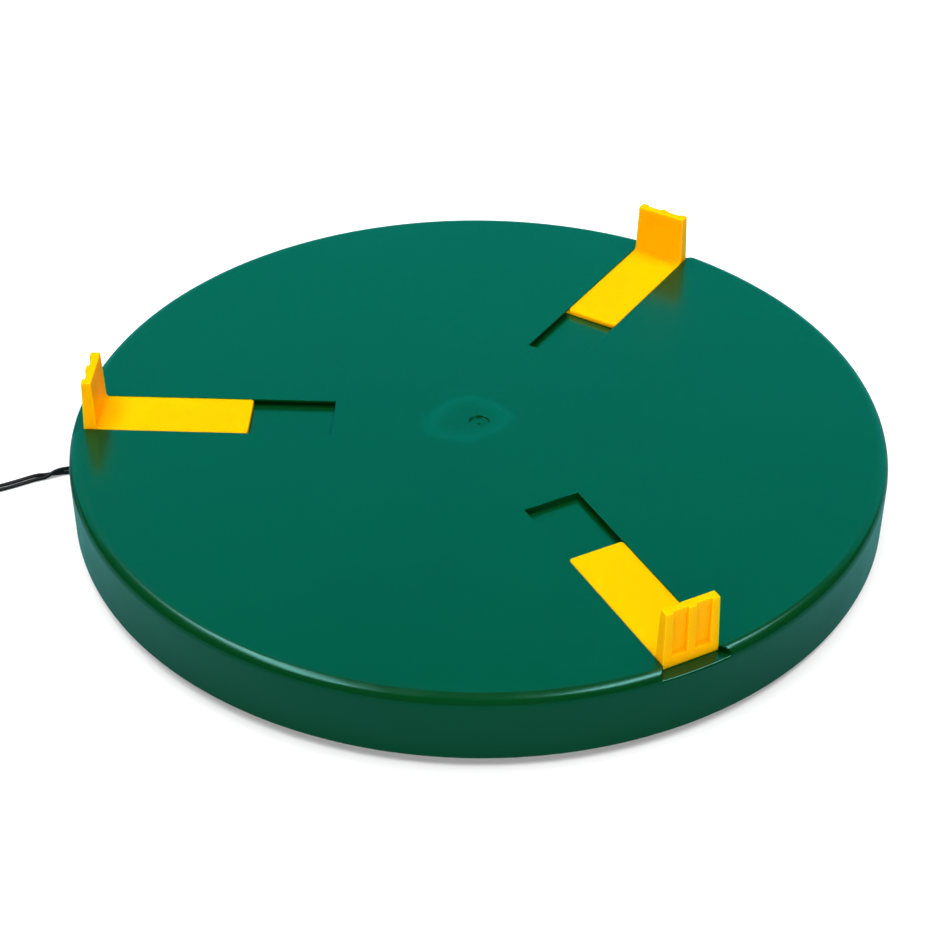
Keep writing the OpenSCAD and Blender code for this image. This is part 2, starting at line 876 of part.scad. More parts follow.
module cord_clamp_screws() {
    grip = 4;
    color(steel)
        along_lead()
            for (side = [-1, 1])
                translate([clamp_bar_x, side * clamp_post_y, clamp_bar_low + clamp_bar_t])
                    screw(small_screw, clamp_bar_t + grip);
}

// Half-section of the grommet along the lead: inner flange, neck, outer flange and tapered nose
module grommet_section() {
    bore = cord_r + running_fit;
    neck = grommet_neck_r;
    flange = grommet_flange_r;
    inner_face = grommet_flange;
    outer_face = base_r - grommet_in;
    nose_foot = outer_face + 2;
    polygon([
        [bore, 0], [flange, 0], [flange, inner_face], [neck, inner_face],
        [neck, outer_face], [flange, outer_face], [flange, nose_foot], [neck, nose_foot],
        [bore + 1, nose_foot + grommet_nose], [bore, nose_foot + grommet_nose]
    ]);
}

module cord_grommet() {
    color(black)
        along_lead()
            translate([grommet_in, 0, lead_z]) rotate([0, 90, 0]) rotate_extrude() grommet_section();
}

// The two wires inside the base, from the grommet through the clamp to the motor
module motor_leads() {
    end_x = motor_x + motor_r + hood_len;
    y = (wire_d + wire_gap) / 2;
    color(black)
        along_lead()
            for (side = [-1, 1])
                tube([
                    [grommet_in, side * y, lead_z],
                    [clamp_bar_x + clamp_bar_w, side * y, lead_z],
                    [clamp_bar_x - clamp_bar_w, side * y, lead_z],
                    [end_x + 18, side * (y + 0.7), lead_z + 0.4],
                    [end_x + 9, side * (y + 1.4), lead_z + 0.6],
                    [end_x, side * (y + 1.4), lead_z + 0.6]
                ], wire_d / 2, 8);
}

// Lead outside the base: through the grommet, down to the floor and along it to the coil
cord_free_path = concat(
    [
        polar(grommet_in, motor_angle, lead_z),
        polar(base_r, motor_angle, lead_z),
        polar(base_r + grommet_nose / 2, motor_angle, lead_z),
        polar(grommet_out, motor_angle, lead_z)
    ],
    [for (step = lead_steps) nose_end + step],
    [coil_lead_in + [2 * cord_d, 0, 0], coil_lead_in]
);

// Smooth step from 0 to 1
function ease(t) = let(u = min(1, max(0, t))) u * u * (3 - 2 * u);

// Point of the coil after some turns: in along the floor, up a layer at the middle, and out again
function coil_point(turns) =
    let(past_middle = turns - layer_turns)
    let(r = coil_in_r + coil_pitch * abs(past_middle), a = 270 - 360 * turns)
    let(z = coil_low_z + coil_pitch * ease(2 * past_middle + 0.5))
    [coil_middle[0], coil_middle[1], 0] + polar(r, a, z);

coil_rings = round(2 * layer_turns * rings_per_turn);
coil_turns_path = [for (i = [0 : coil_rings]) coil_point(2 * layer_turns * i / coil_rings)];
coil_path = concat(
    [coil_lead_in],
    coil_turns_path,
    [coil_turns_path[coil_rings] + [0, coil_lead_out, 0]]
);

// Least gap of the coil to itself, between points at least half a turn apart
coil_gap = min([
    for (i = [0 : coil_rings], j = [i + rings_per_turn / 2 : coil_rings])
        norm(coil_turns_path[i] - coil_turns_path[j])
]) - cord_d;

// Length of a path
function path_length(path, i = 1) =
    i < len(path) ? norm(path[i] - path[i - 1]) + path_length(path, i + 1) : 0;

echo(coil_gap = coil_gap, free_length = path_length(cord_free_path), coil_length = path_length(coil_path));

module cord_free() {
    color(black) tube(cord_free_path, cord_r, 10);
}

module cord_coil() {
    color(black) tube(coil_path, cord_r, 6);
}

// Strap around the turns at the coil's far side
module cord_tie() {
    room = cord_r + 0.3;
    inner = coil_in_r - room;
    outer = coil_out_r + room;
    inside_h = coil_high_z + room - tie_t;
    color(black)
        translate([coil_middle[0] - tie_w / 2, coil_middle[1], 0])
            difference() {
                translate([0, inner - tie_t, 0])
                    cube([tie_w, outer - inner + 2 * tie_t, inside_h + 2 * tie_t]);
                translate([-past, inner, tie_t]) cube([tie_w + 2 * past, outer - inner, inside_h]);
            }
}

// Tapered sleeve with rings, where the lead enters the plug
module plug_relief() {
    tip_r = cord_r + 0.6;
    foot_end_r = cord_r + 2.6;
    groove_n = 4;
    color(black)
        translate([plug_x, relief_y, coil_high_z])
            rotate([-90, 0, 0])
                difference() {
                    cylinder(r1 = tip_r, r2 = foot_end_r, h = relief_len);
                    for (k = [1 : groove_n])
                        translate([0, 0, relief_len * k / (groove_n + 1)])
                            band(cord_r, foot_end_r + past, 0, 1.2);
                }
}

// Flat plug body, narrowing to the lead
module plug_body() {
    half = plug_w / 2;
    neck = plug_neck_w / 2;
    shoulder = plug_len * 0.45;
    color(black)
        translate([plug_x, plug_y, 0])
            linear_extrude(plug_t)
                polygon([
                    [-neck, 0], [neck, 0], [half, shoulder], [half, plug_len],
                    [-half, plug_len], [-half, shoulder]
                ]);
}

module plug_pins() {
    color(steel)
        for (side = [-1, 1])
            translate([plug_x + side * pin_pitch / 2, plug_y + plug_len, coil_high_z])
                rotate([-90, 0, 0]) {
                    cylinder(r = pin_r, h = pin_len - pin_r);
                    translate([0, 0, pin_len - pin_r]) sphere(r = pin_r);
                }
}

platter();
track_ring();
ring_gear();
ring_gear_screws();
platter_axle();
axle_clip();
clamp_left();
clamp_rear();
clamp_front();
base_tray();
bearing_post();
roller_brackets();
rubber_feet();
axle_bush();
thrust_washer();
roller_axles();
motor_case();
motor_lid();
motor_screws();
motor_shaft();
drive_pinion();
roller(1);  // roller_1
roller(2);  // roller_2
roller(3);  // roller_3
roller(4);  // roller_4
roller(5);  // roller_5
roller(6);  // roller_6
cord_clamp();
cord_clamp_screws();
cord_grommet();
motor_leads();
cord_free();
cord_coil();
cord_tie();
plug_relief();
plug_body();
plug_pins();
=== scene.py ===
"""Looks of a motor-driven turntable for a decorated tree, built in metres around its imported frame."""

import json
import logging
import math
from collections.abc import Callable, Iterable, Sequence
from dataclasses import dataclass, field
from enum import Enum

import bpy
from mathutils import Matrix, Quaternion, Vector

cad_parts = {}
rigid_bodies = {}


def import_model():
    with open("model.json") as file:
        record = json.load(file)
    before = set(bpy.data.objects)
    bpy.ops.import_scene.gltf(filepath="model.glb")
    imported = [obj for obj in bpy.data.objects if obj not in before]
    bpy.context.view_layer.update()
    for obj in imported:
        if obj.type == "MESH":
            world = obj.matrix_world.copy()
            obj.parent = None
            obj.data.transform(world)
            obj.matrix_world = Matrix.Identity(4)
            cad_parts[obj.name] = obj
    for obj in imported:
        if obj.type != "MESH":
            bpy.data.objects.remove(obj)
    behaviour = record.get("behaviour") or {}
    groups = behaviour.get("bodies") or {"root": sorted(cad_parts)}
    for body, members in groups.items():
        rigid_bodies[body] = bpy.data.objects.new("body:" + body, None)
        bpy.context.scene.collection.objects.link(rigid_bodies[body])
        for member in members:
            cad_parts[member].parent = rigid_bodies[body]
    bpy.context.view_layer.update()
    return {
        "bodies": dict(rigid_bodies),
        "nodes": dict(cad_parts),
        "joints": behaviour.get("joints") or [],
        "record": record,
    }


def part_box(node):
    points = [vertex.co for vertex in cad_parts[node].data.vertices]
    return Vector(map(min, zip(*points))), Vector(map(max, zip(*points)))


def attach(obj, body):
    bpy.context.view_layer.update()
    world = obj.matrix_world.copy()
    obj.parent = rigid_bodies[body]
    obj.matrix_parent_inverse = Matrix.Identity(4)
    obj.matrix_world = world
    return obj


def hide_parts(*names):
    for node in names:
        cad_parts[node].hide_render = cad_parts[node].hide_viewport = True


log = logging.getLogger("turntable")

MM = 0.001
# Two points closer than this are taken to be at the same place
TOUCH = 0.03 * MM
# A cut runs this far past the face that it opens
PAST = 1 * MM
# Fused pieces sink into each other by steps of this, so that no two of their faces coincide
SINK = 0.1 * MM
# A face whose normal reaches this far along an axis faces that way
FACING = 0.9
# Places of a Mix node's two colour inputs and of its colour output
MIX_FIRST = 6
MIX_SECOND = 7
MIX_RESULT = 2

Colour = tuple[float, float, float]
Place = tuple[float, float, float]
Span = tuple[float, float]
Piece = bpy.types.Object
Socket = bpy.types.NodeSocket
PointTest = Callable[[Vector], bool]
FaceTest = Callable[[Vector, Vector], bool]
EdgeTest = Callable[[Vector, Vector], bool]


class Join(Enum):
    """How a tool changes the piece that it meets."""

    FUSE = "UNION"
    CUT = "DIFFERENCE"


class Channel(Enum):
    """The three channels, each with its direction in degrees."""

    LEFT = 180.0
    REAR = 60.0
    FRONT = -60.0

    @property
    def node(self) -> str:
        """CAD node of the clamp in this channel."""
        return f"clamp_{self.name.lower()}"

    @property
    def body(self) -> str:
        """Body that the clamp in this channel rides on."""
        return f"{self.name.lower()}_clamp"


def near(a: float, b: float) -> bool:
    """Tells whether two lengths are the same within the touch distance."""
    return abs(a - b) < TOUCH


def ease(t: float) -> float:
    """Smooth step from 0 to 1."""
    u = min(1.0, max(0.0, t))
    return u * u * (3 - 2 * u)


def polar(r: float, degrees: float, z: float = 0.0) -> Vector:
    """Point at a radius and a direction, at some height."""
    a = math.radians(degrees)
    return Vector((r * math.cos(a), r * math.sin(a), z))


def deselect() -> None:
    """Deselects every object."""
    bpy.ops.object.select_all(action="DESELECT")


def take(piece: Piece) -> Piece:
    """Selects one piece alone and makes it the active one.

    Args:
        piece: The piece to select.

    Returns:
        The same piece.
    """
    deselect()
    piece.select_set(True)
    bpy.context.view_layer.objects.active = piece
    return piece


def settle(name: str) -> Piece:
    """Names the active object and puts its place, turn and scale in its mesh.

    Args:
        name: Its new name.

    Returns:
        The object.
    """
    piece = take(bpy.context.active_object)
    piece.name = name
    piece.data.name = name
    bpy.ops.object.transform_apply(location=True, rotation=True, scale=True)
    return piece


def box(name: str, low: Sequence[float], high: Sequence[float]) -> Piece:
    """Adds a box.

    Args:
        name: Name of the new piece.
        low: Lowest corner.
        high: Highest corner.

    Returns:
        The box, at the origin with its place in its mesh.
    """
    a, b = Vector(low), Vector(high)
    deselect()
    bpy.ops.mesh.primitive_cube_add(size=1, location=(a + b) / 2, scale=b - a)
    return settle(name)


def drum(
    name: str, radius: float, low: float, high: float, sides: int, middle: Sequence[float] = (0, 0)
) -> Piece:
    """Adds an upright cylinder.

    Args:
        name: Name of the new piece.
        radius: Its radius.
        low: Height of its lower end.
        high: Height of its upper end.
        sides: Number of its sides.
        middle: Place of its axis in the floor plane.

    Returns:
        The cylinder, at the origin with its place in its mesh.
    """
    deselect()
    place = (middle[0], middle[1], (low + high) / 2)
    bpy.ops.mesh.primitive_cylinder_add(vertices=sides, radius=radius, depth=high - low, location=place)
    return settle(name)


def hoop(name: str, r_in: float, r_out: float, low: float, high: float, sides: int) -> Piece:
    """Adds an upright ring with a wall of some thickness.

    Args:
        name: Name of the new piece.
        r_in: Inner radius.
        r_out: Outer radius.
        low: Height of its lower end.
        high: Height of its upper end.
        sides: Number of its sides.

    Returns:
        The ring, closed all round.
    """
    deselect()
    bpy.ops.mesh.primitive_cylinder_add(
        vertices=sides,
        radius=r_out,
        depth=high - low,
        location=(0, 0, (low + high) / 2),
        end_fill_type="NOTHING",
    )
    piece = settle(name)
    apply_modifier(piece, "SOLIDIFY", thickness=r_out - r_in, offset=-1, use_even_offset=True)
    return piece


def apply_modifier(piece: Piece, kind: str, **settings: object) -> None:
    """Adds a modifier to a piece and applies it.

    Args:
        piece: The piece that is changed.
        kind: Type of the modifier.
        settings: Values of its fields.
    """
    take(piece)
    modifier = piece.modifiers.new(kind.title(), kind)
    for name, value in settings.items():
        setattr(modifier, name, value)
    bpy.ops.object.modifier_apply(modifier=modifier.name)


def combine(piece: Piece, tools: Iterable[Piece], how: Join) -> None:
    """Fuses tools to a piece or cuts them from it, and uses them up.

    Args:
        piece: The piece that is changed.
        tools: Closed solids, which may meet each other.
        how: Whether they are added or cut away.
    """
    for tool in tools:
        apply_modifier(piece, "BOOLEAN", object=tool, operation=how.value, solver="MANIFOLD")
        bpy.data.objects.remove(tool)


def weld(pieces: Iterable[Piece]) -> Piece:
    """Joins pieces into the first one, without changing their shapes.

    Args:
        pieces: The pieces to join.

    Returns:
        The first piece, which now holds them all.
    """
    first, *rest = list(pieces)
    take(first)
    for piece in rest:
        piece.select_set(True)
    if rest:
        bpy.ops.object.join()
    return first


def turned(piece: Piece, degrees: float, name: str) -> Piece:
    """Copies a piece, with a mesh of its own, and turns the copy about the turning axis.

    Args:
        piece: The piece to copy.
        degrees: The turn.
        name: Name of the copy.

    Returns:
        The copy.
    """
    take(piece)
    bpy.ops.object.duplicate(linked=False)
    copy = bpy.context.active_object
    copy.rotation_euler.z = math.radians(degrees)
    return settle(name)


def around(piece: Piece, angles: Iterable[float]) -> list[Piece]:
    """Copies a piece to several directions about the turning axis, and uses it up.

    Args:
        piece: The piece to copy.
        angles: The turn of each copy, in degrees.

    Returns:
        The copies.
    """
    made = [turned(piece, angle, piece.name) for angle in angles]
    bpy.data.objects.remove(piece)
    return made


def pick(piece: Piece, kind: str, chosen: Callable[[bpy.types.Mesh], Iterable[bool]]) -> None:
    """Opens a piece for editing with some of its faces or edges selected.

    Args:
        piece: The piece to edit.
        kind: FACE or EDGE.
        chosen: Gives a yes or no for each face or edge of the mesh.
    """
    take(piece)
    bpy.ops.object.mode_set(mode="EDIT")
    bpy.ops.mesh.select_mode(type=kind)
    bpy.ops.mesh.select_all(action="DESELECT")
    bpy.ops.object.mode_set(mode="OBJECT")
    mesh = piece.data
    items = mesh.polygons if kind == "FACE" else mesh.edges
    items.foreach_set("select", list(chosen(mesh)))
    bpy.ops.object.mode_set(mode="EDIT")


def pick_faces(piece: Piece, test: FaceTest) -> None:
    """Opens a piece with the faces selected whose middle and normal pass a test."""
    pick(piece, "FACE", lambda mesh: [test(f.center, f.normal) for f in mesh.polygons])


def pick_edges(piece: Piece, test: EdgeTest) -> None:
    """Opens a piece with the edges selected whose two ends pass a test.

    Args:
        piece: The piece to edit.
        test: Test of an edge's two ends.
    """

    def chosen(mesh: bpy.types.Mesh) -> list[bool]:
        """Tests each edge of the mesh."""
        at = [v.co for v in mesh.vertices]
        return [test(at[e.vertices[0]], at[e.vertices[1]]) for e in mesh.edges]

    pick(piece, "EDGE", chosen)


def both(test: PointTest) -> EdgeTest:
    """Returns a test of edges whose two ends both pass a test of points."""
    return lambda a, b: test(a) and test(b)


def close() -> None:
    """Leaves edit mode."""
    bpy.ops.object.mode_set(mode="OBJECT")


def push(piece: Piece, test: FaceTest, way: Sequence[float]) -> None:
    """Extrudes the faces that pass a test along a vector.

    Args:
        piece: The piece to edit.
        test: Test of a face's middle and normal.
        way: The vector.
    """
    pick_faces(piece, test)
    bpy.ops.mesh.extrude_region_move(TRANSFORM_OT_translate={"value": tuple(way)})
    close()


def round_edges(piece: Piece, test: EdgeTest, width: float, steps: int) -> None:
    """Rounds the edges whose two ends pass a test.

    Args:
        piece: The piece to edit.
        test: Test of an edge's two ends.
        width: Distance of the round's borders from the edge.
        steps: Number of strips across the round.
    """
    pick_edges(piece, test)
    bpy.ops.mesh.bevel(offset=width, segments=steps, profile=0.5, affect="EDGES", clamp_overlap=False)
    close()


def slice_at(piece: Piece, point: Sequence[float], normal: Sequence[float]) -> None:
    """Cuts a line round a piece where a plane crosses it.

    Args:
        piece: The piece to edit.
        point: A point of the plane.
        normal: The plane's normal.
    """
    pick_faces(piece, lambda middle, out: True)
    bpy.ops.mesh.bisect(plane_co=tuple(point), plane_no=tuple(normal))
    close()


def bevel(piece: Piece, width: float, steps: int, degrees: float) -> None:
    """Rounds every edge of a piece that turns by more than an angle."""
    limit = math.radians(degrees)
    apply_modifier(piece, "BEVEL", width=width, segments=steps, limit_method="ANGLE", angle_limit=limit)


def tidy_mesh(piece: Piece, distance: float) -> None:
    """Merges points that lie closer together than a distance.

    Args:
        piece: The piece to edit.
        distance: The distance.
    """
    pick_faces(piece, lambda middle, out: True)
    bpy.ops.mesh.remove_doubles(threshold=distance)
    bpy.ops.mesh.dissolve_degenerate(threshold=distance / 2)
    close()


def smooth(piece: Piece, degrees: float = 32.0) -> None:
    """Shades a piece smooth where it is round, and keeps its flat faces flat.

    Args:
        piece: The piece to shade.
        degrees: Edges that turn by more stay sharp.
    """
    take(piece)
    bpy.ops.object.shade_smooth_by_angle(angle=math.radians(degrees))
    apply_modifier(piece, "WEIGHTED_NORMAL", keep_sharp=True, weight=60)


class Graph:
    """Node tree of one material, around its shader and the piece's own coordinates."""

    def __init__(self, name: str) -> None:
        """Starts a material with a plain shader.

        Args:
            name: Name of the material.
        """
        self.material = bpy.data.materials.new(name)
        self.material.use_nodes = True
        tree = self.material.node_tree
        self.nodes = tree.nodes
        self.links = tree.links
        self.shader = next(n for n in tree.nodes if n.type == "BSDF_PRINCIPLED")
        self.place = self.nodes.new("ShaderNodeTexCoord").outputs["Object"]

    def put(self, socket: str, value: object) -> None:
        """Sets a constant on the shader, or links a node's output to it.

        Args:
            socket: Name of the shader's input.
            value: A number, a colour or a node's output.
        """
        if isinstance(value, Socket):
            self.links.new(value, self.shader.inputs[socket])
        elif isinstance(value, tuple):
            self.shader.inputs[socket].default_value = (*value, 1)
        else:
            self.shader.inputs[socket].default_value = value

    def noise(self, size: float, detail: float, place: Socket | None = None) -> Socket:
        """Adds noise.

        Args:
            size: Width of its largest features.
            detail: Number of finer layers in it.
            place: Coordinates that it follows, the piece's own by default.

        Returns:
            Its value, from 0 to 1.
        """
        node = self.nodes.new("ShaderNodeTexNoise")
        node.inputs["Scale"].default_value = 1 / size
        node.inputs["Detail"].default_value = detail
        self.links.new(place or self.place, node.inputs["Vector"])
        return node.outputs["Fac"]

    def stretched(self, scale: Sequence[float]) -> Socket:
        """Returns the piece's coordinates with each axis scaled.

        Args:
            scale: The scale of each axis.

        Returns:
            The scaled coordinates.
        """
        node = self.nodes.new("ShaderNodeMapping")
        node.inputs["Scale"].default_value = tuple(scale)
        self.links.new(self.place, node.inputs["Vector"])
        return node.outputs["Vector"]

    def spread(self, value: Socket, low: float, high: float, at: Span = (0.3, 0.7)) -> Socket:
        """Spreads a value over a range.

        Args:
            value: The value to spread.
            low: Result at the lower border.
            high: Result at the upper border.
            at: The two borders.

        Returns:
            The result, held between low and high.
        """
        node = self.nodes.new("ShaderNodeMapRange")
        self.links.new(value, node.inputs["Value"])
        for socket, number in zip(("From Min", "From Max", "To Min", "To Max"), (*at, low, high)):
            node.inputs[socket].default_value = number
        return node.outputs["Result"]

    def blend(self, share: Socket, first: Colour | Socket, second: Colour | Socket) -> Socket:
        """Mixes two colours.

        Args:
            share: Share of the second colour.
            first: A colour, or a node's output.
            second: A colour, or a node's output.

        Returns:
            The mixed colour.
        """
        node = self.nodes.new("ShaderNodeMix")
        node.data_type = "RGBA"
        self.links.new(share, node.inputs["Factor"])
        for socket, colour in zip((node.inputs[MIX_FIRST], node.inputs[MIX_SECOND]), (first, second)):
            if isinstance(colour, Socket):
                self.links.new(colour, socket)
            else:
                socket.default_value = (*colour, 1)
        return node.outputs[MIX_RESULT]

    def maths(self, how: str, first: Socket, second: Socket) -> Socket:
        """Works out one value from two.

        Args:
            how: The operation.
            first: The first value.
            second: The second value.

        Returns:
            The result.
        """
        node = self.nodes.new("ShaderNodeMath")
        node.operation = how
        for socket, value in zip(node.inputs, (first, second)):
            self.links.new(value, socket)
        return node.outputs[0]

    def reach(self, place: Socket, middle: Place) -> Socket:
        """Returns the distance of a place from a middle.

        Args:
            place: The coordinates of the place.
            middle: The middle.

        Returns:
            The distance.
        """
        node = self.nodes.new("ShaderNodeVectorMath")
        node.operation = "DISTANCE"
        self.links.new(place, node.inputs[0])
        node.inputs[1].default_value = middle
        return node.outputs["Value"]

    def bump(self, height: Socket, depth: float) -> None:
        """Roughens the surface by a height map of some depth.

        Args:
            height: The height map, from 0 to 1.
            depth: The depth.
        """
        node = self.nodes.new("ShaderNodeBump")
        node.inputs["Distance"].default_value = depth
        self.links.new(height, node.inputs["Height"])
        self.put("Normal", node.outputs["Normal"])


def scaled(colour: Colour, share: float) -> Colour:
    """Returns a colour made darker or lighter by a share."""
    return tuple(min(1.0, c * (1 + share)) for c in colour)


@dataclass(frozen=True)
class Moulded:
    """Moulded plastic with a slow drift of tone, fine tool grain and a soft gloss."""

    name: str
    colour: Colour
    gloss: Span
    gloss_size: float = 12 * MM
    drift: float = 0.05
    drift_size: float = 90 * MM
    grain: float = 0.7 * MM
    depth: float = 0.012 * MM
    reflect: Colour = (1.0, 1.0, 1.0)
    shine: float = 0.5
    glow: float = 0.0
    depth_of_glow: Place = (8 * MM, 8 * MM, 0.6 * MM)

    def graph(self) -> Graph:
        """Starts the material's node tree.

        Returns:
            The node tree.
        """
        g = Graph(self.name)
        slow = g.spread(g.noise(self.drift_size, detail=3), 0, 1)
        g.put("Base Color", g.blend(slow, scaled(self.colour, -self.drift), scaled(self.colour, self.drift)))
        g.put("Roughness", g.spread(g.noise(self.gloss_size, detail=4), *self.gloss))
        g.put("Specular Tint", self.reflect)
        g.put("Specular IOR Level", self.shine)
        g.put("Subsurface Weight", self.glow)
        g.shader.inputs["Subsurface Radius"].default_value = self.depth_of_glow
        g.shader.inputs["Subsurface Scale"].default_value = 1.0
        g.bump(g.noise(self.grain, detail=2), self.depth)
        return g

    def material(self) -> bpy.types.Material:
        """Makes the material."""
        return self.graph().material


@dataclass(frozen=True)
class Flowed(Moulded):
    """Moulded plastic whose flow left a pale halo round the gate at the middle."""

    halo_r: float = 20 * MM
    halo_w: float = 5 * MM
    halo_at: Place = (-7 * MM, 1 * MM, 0.0)
    wander_size: float = 40 * MM
    halo: Colour = (0.0, 0.09, 0.07)
    halo_share: float = 0.16
    face_reflect: Colour = (0.0, 1.0, 1.0)
    rim: Span = (217 * MM, 219.5 * MM)

    def material(self) -> bpy.types.Material:
        """Makes the material, with the halo laid over the base tone and a deeper sheen inside the rim.

        Returns:
            The material.
        """
        g = self.graph()
        flat = g.stretched((1, 1, 0))
        wander = g.spread(g.noise(self.wander_size, detail=2, place=flat), -self.halo_w, self.halo_w)
        r = g.maths("ADD", g.reach(flat, self.halo_at), wander)
        inside = g.spread(r, 0, 1, (self.halo_r - 2 * self.halo_w, self.halo_r))
        outside = g.spread(r, self.halo_share, 0, (self.halo_r, self.halo_r + self.halo_w))
        base = g.shader.inputs["Base Color"].links[0].from_socket
        g.put("Base Color", g.blend(g.maths("MULTIPLY", inside, outside), base, self.halo))
        at_rim = g.spread(g.reach(flat, (0, 0, 0)), 0, 1, self.rim)
        g.put("Specular Tint", g.blend(at_rim, self.face_reflect, self.reflect))
        return g.material


@dataclass(frozen=True)
class Metal:
    """Plated or turned metal with fine drawn lines and cloudy gloss."""

    name: str
    colour: Colour
    gloss: Span
    cloud: float = 0.12
    cloud_size: float = 8 * MM
    lines: float = 0.4 * MM
    drawn: Place = (1, 1, 0.08)
    depth: float = 0.004 * MM

    def material(self) -> bpy.types.Material:
        """Makes the material.

        Returns:
            The material.
        """
        g = Graph(self.name)
        cloud = g.spread(g.noise(self.cloud_size, detail=3), 0, 1)
        g.put("Base Color", g.blend(cloud, scaled(self.colour, -self.cloud), self.colour))
        g.put("Metallic", 1.0)
        g.put("Roughness", g.spread(g.noise(self.lines, 3, g.stretched(self.drawn)), *self.gloss))
        g.bump(g.noise(self.lines, 2, g.stretched(self.drawn)), self.depth)
        return g.material


@dataclass(frozen=True)
class Paper:
    """Seamless white floor with a faint paper mottle, which throws back less light than it shows."""

    name: str
    colour: Colour
    bounce: Colour
    lift: float
    far: Span = (0.5, 1.5)
    mottle: float = 0.01
    mottle_size: float = 60 * MM
    rough: float = 0.9
    shine: float = 0.1

    def material(self) -> bpy.types.Material:
        """Makes the material.

        Returns:
            The material.
        """
        g = Graph(self.name)
        mottle = g.spread(g.noise(self.mottle_size, detail=4), 0, 1)
        shown = g.nodes.new("ShaderNodeLightPath").outputs["Is Camera Ray"]
        paper = g.blend(mottle, scaled(self.colour, -self.mottle), self.colour)
        g.put("Base Color", g.blend(shown, self.bounce, paper))
        g.put("Roughness", self.rough)
        g.put("Specular IOR Level", self.shine)
        g.put("Emission Color", (1.0, 1.0, 1.0))
        lift = g.spread(g.reach(g.stretched((1, 1, 0)), (0, 0, 0)), self.lift, 1, self.far)
        g.put("Emission Strength", g.maths("MULTIPLY", shown, lift))
        return g.material


# The record's material slots
FINISHES: tuple[Moulded | Metal, ...] = (
    Flowed("green_plastic", (0.0, 0.0273, 0.0041), (0.20, 0.26), reflect=(0.35, 1.0, 1.0), grain=1.4 * MM),
    Moulded(
        "yellow_plastic",
        (0.97, 0.375, 0.0003),
        (0.32, 0.42),
        drift=0.02,
        reflect=(1.0, 0.6, 0.0),
        shine=0.12,
        glow=1.0,
    ),
    Moulded("grey_plastic", (0.1, 0.104, 0.11), (0.45, 0.6)),
    Moulded("ivory_plastic", (0.78, 0.74, 0.6), (0.35, 0.5)),
    Moulded("black_plastic", (0.004, 0.004, 0.0044), (0.34, 0.46), drift=0.2, drift_size=25 * MM, shine=0.3),
    Moulded("rubber", (0.02, 0.02, 0.021), (0.6, 0.78), drift=0.15, drift_size=20 * MM, depth=0.03 * MM),
    Metal("steel", (0.62, 0.63, 0.65), (0.22, 0.4)),
    Metal("brass", (0.62, 0.44, 0.17), (0.25, 0.42)),
)


class Finishes:
    """The materials of the object, by the record's slot names."""

    def __init__(self) -> None:
        """Makes each material once."""
        self.materials = {finish.name: finish.material() for finish in FINISHES}

    def paint(self, piece: Piece, slot: str) -> None:
        """Gives a piece the material of a slot."""
        piece.data.materials.clear()
        piece.data.materials.append(self.materials[slot])

    def paint_nodes(self, frame: dict) -> None:
        """Gives each CAD node the material of its own slot."""
        for part in frame["record"]["subparts"]:
            self.paint(frame["nodes"][part["node"]], part["material_slot"])

    def dress(self, piece: Piece, slot: str, body: str, nodes: Sequence[str]) -> Piece:
        """Paints a new piece and ties it to the frame.

        Args:
            piece: The new piece.
            slot: Material slot that it takes its finish from.
            body: Body that it rides on.
            nodes: CAD nodes that it stands for.

        Returns:
            The piece.
        """
        self.paint(piece, slot)
        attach(piece, body)
        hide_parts(*nodes)
        log.info("%s: %d faces, rides on %s", piece.name, len(piece.data.polygons), body)
        return piece


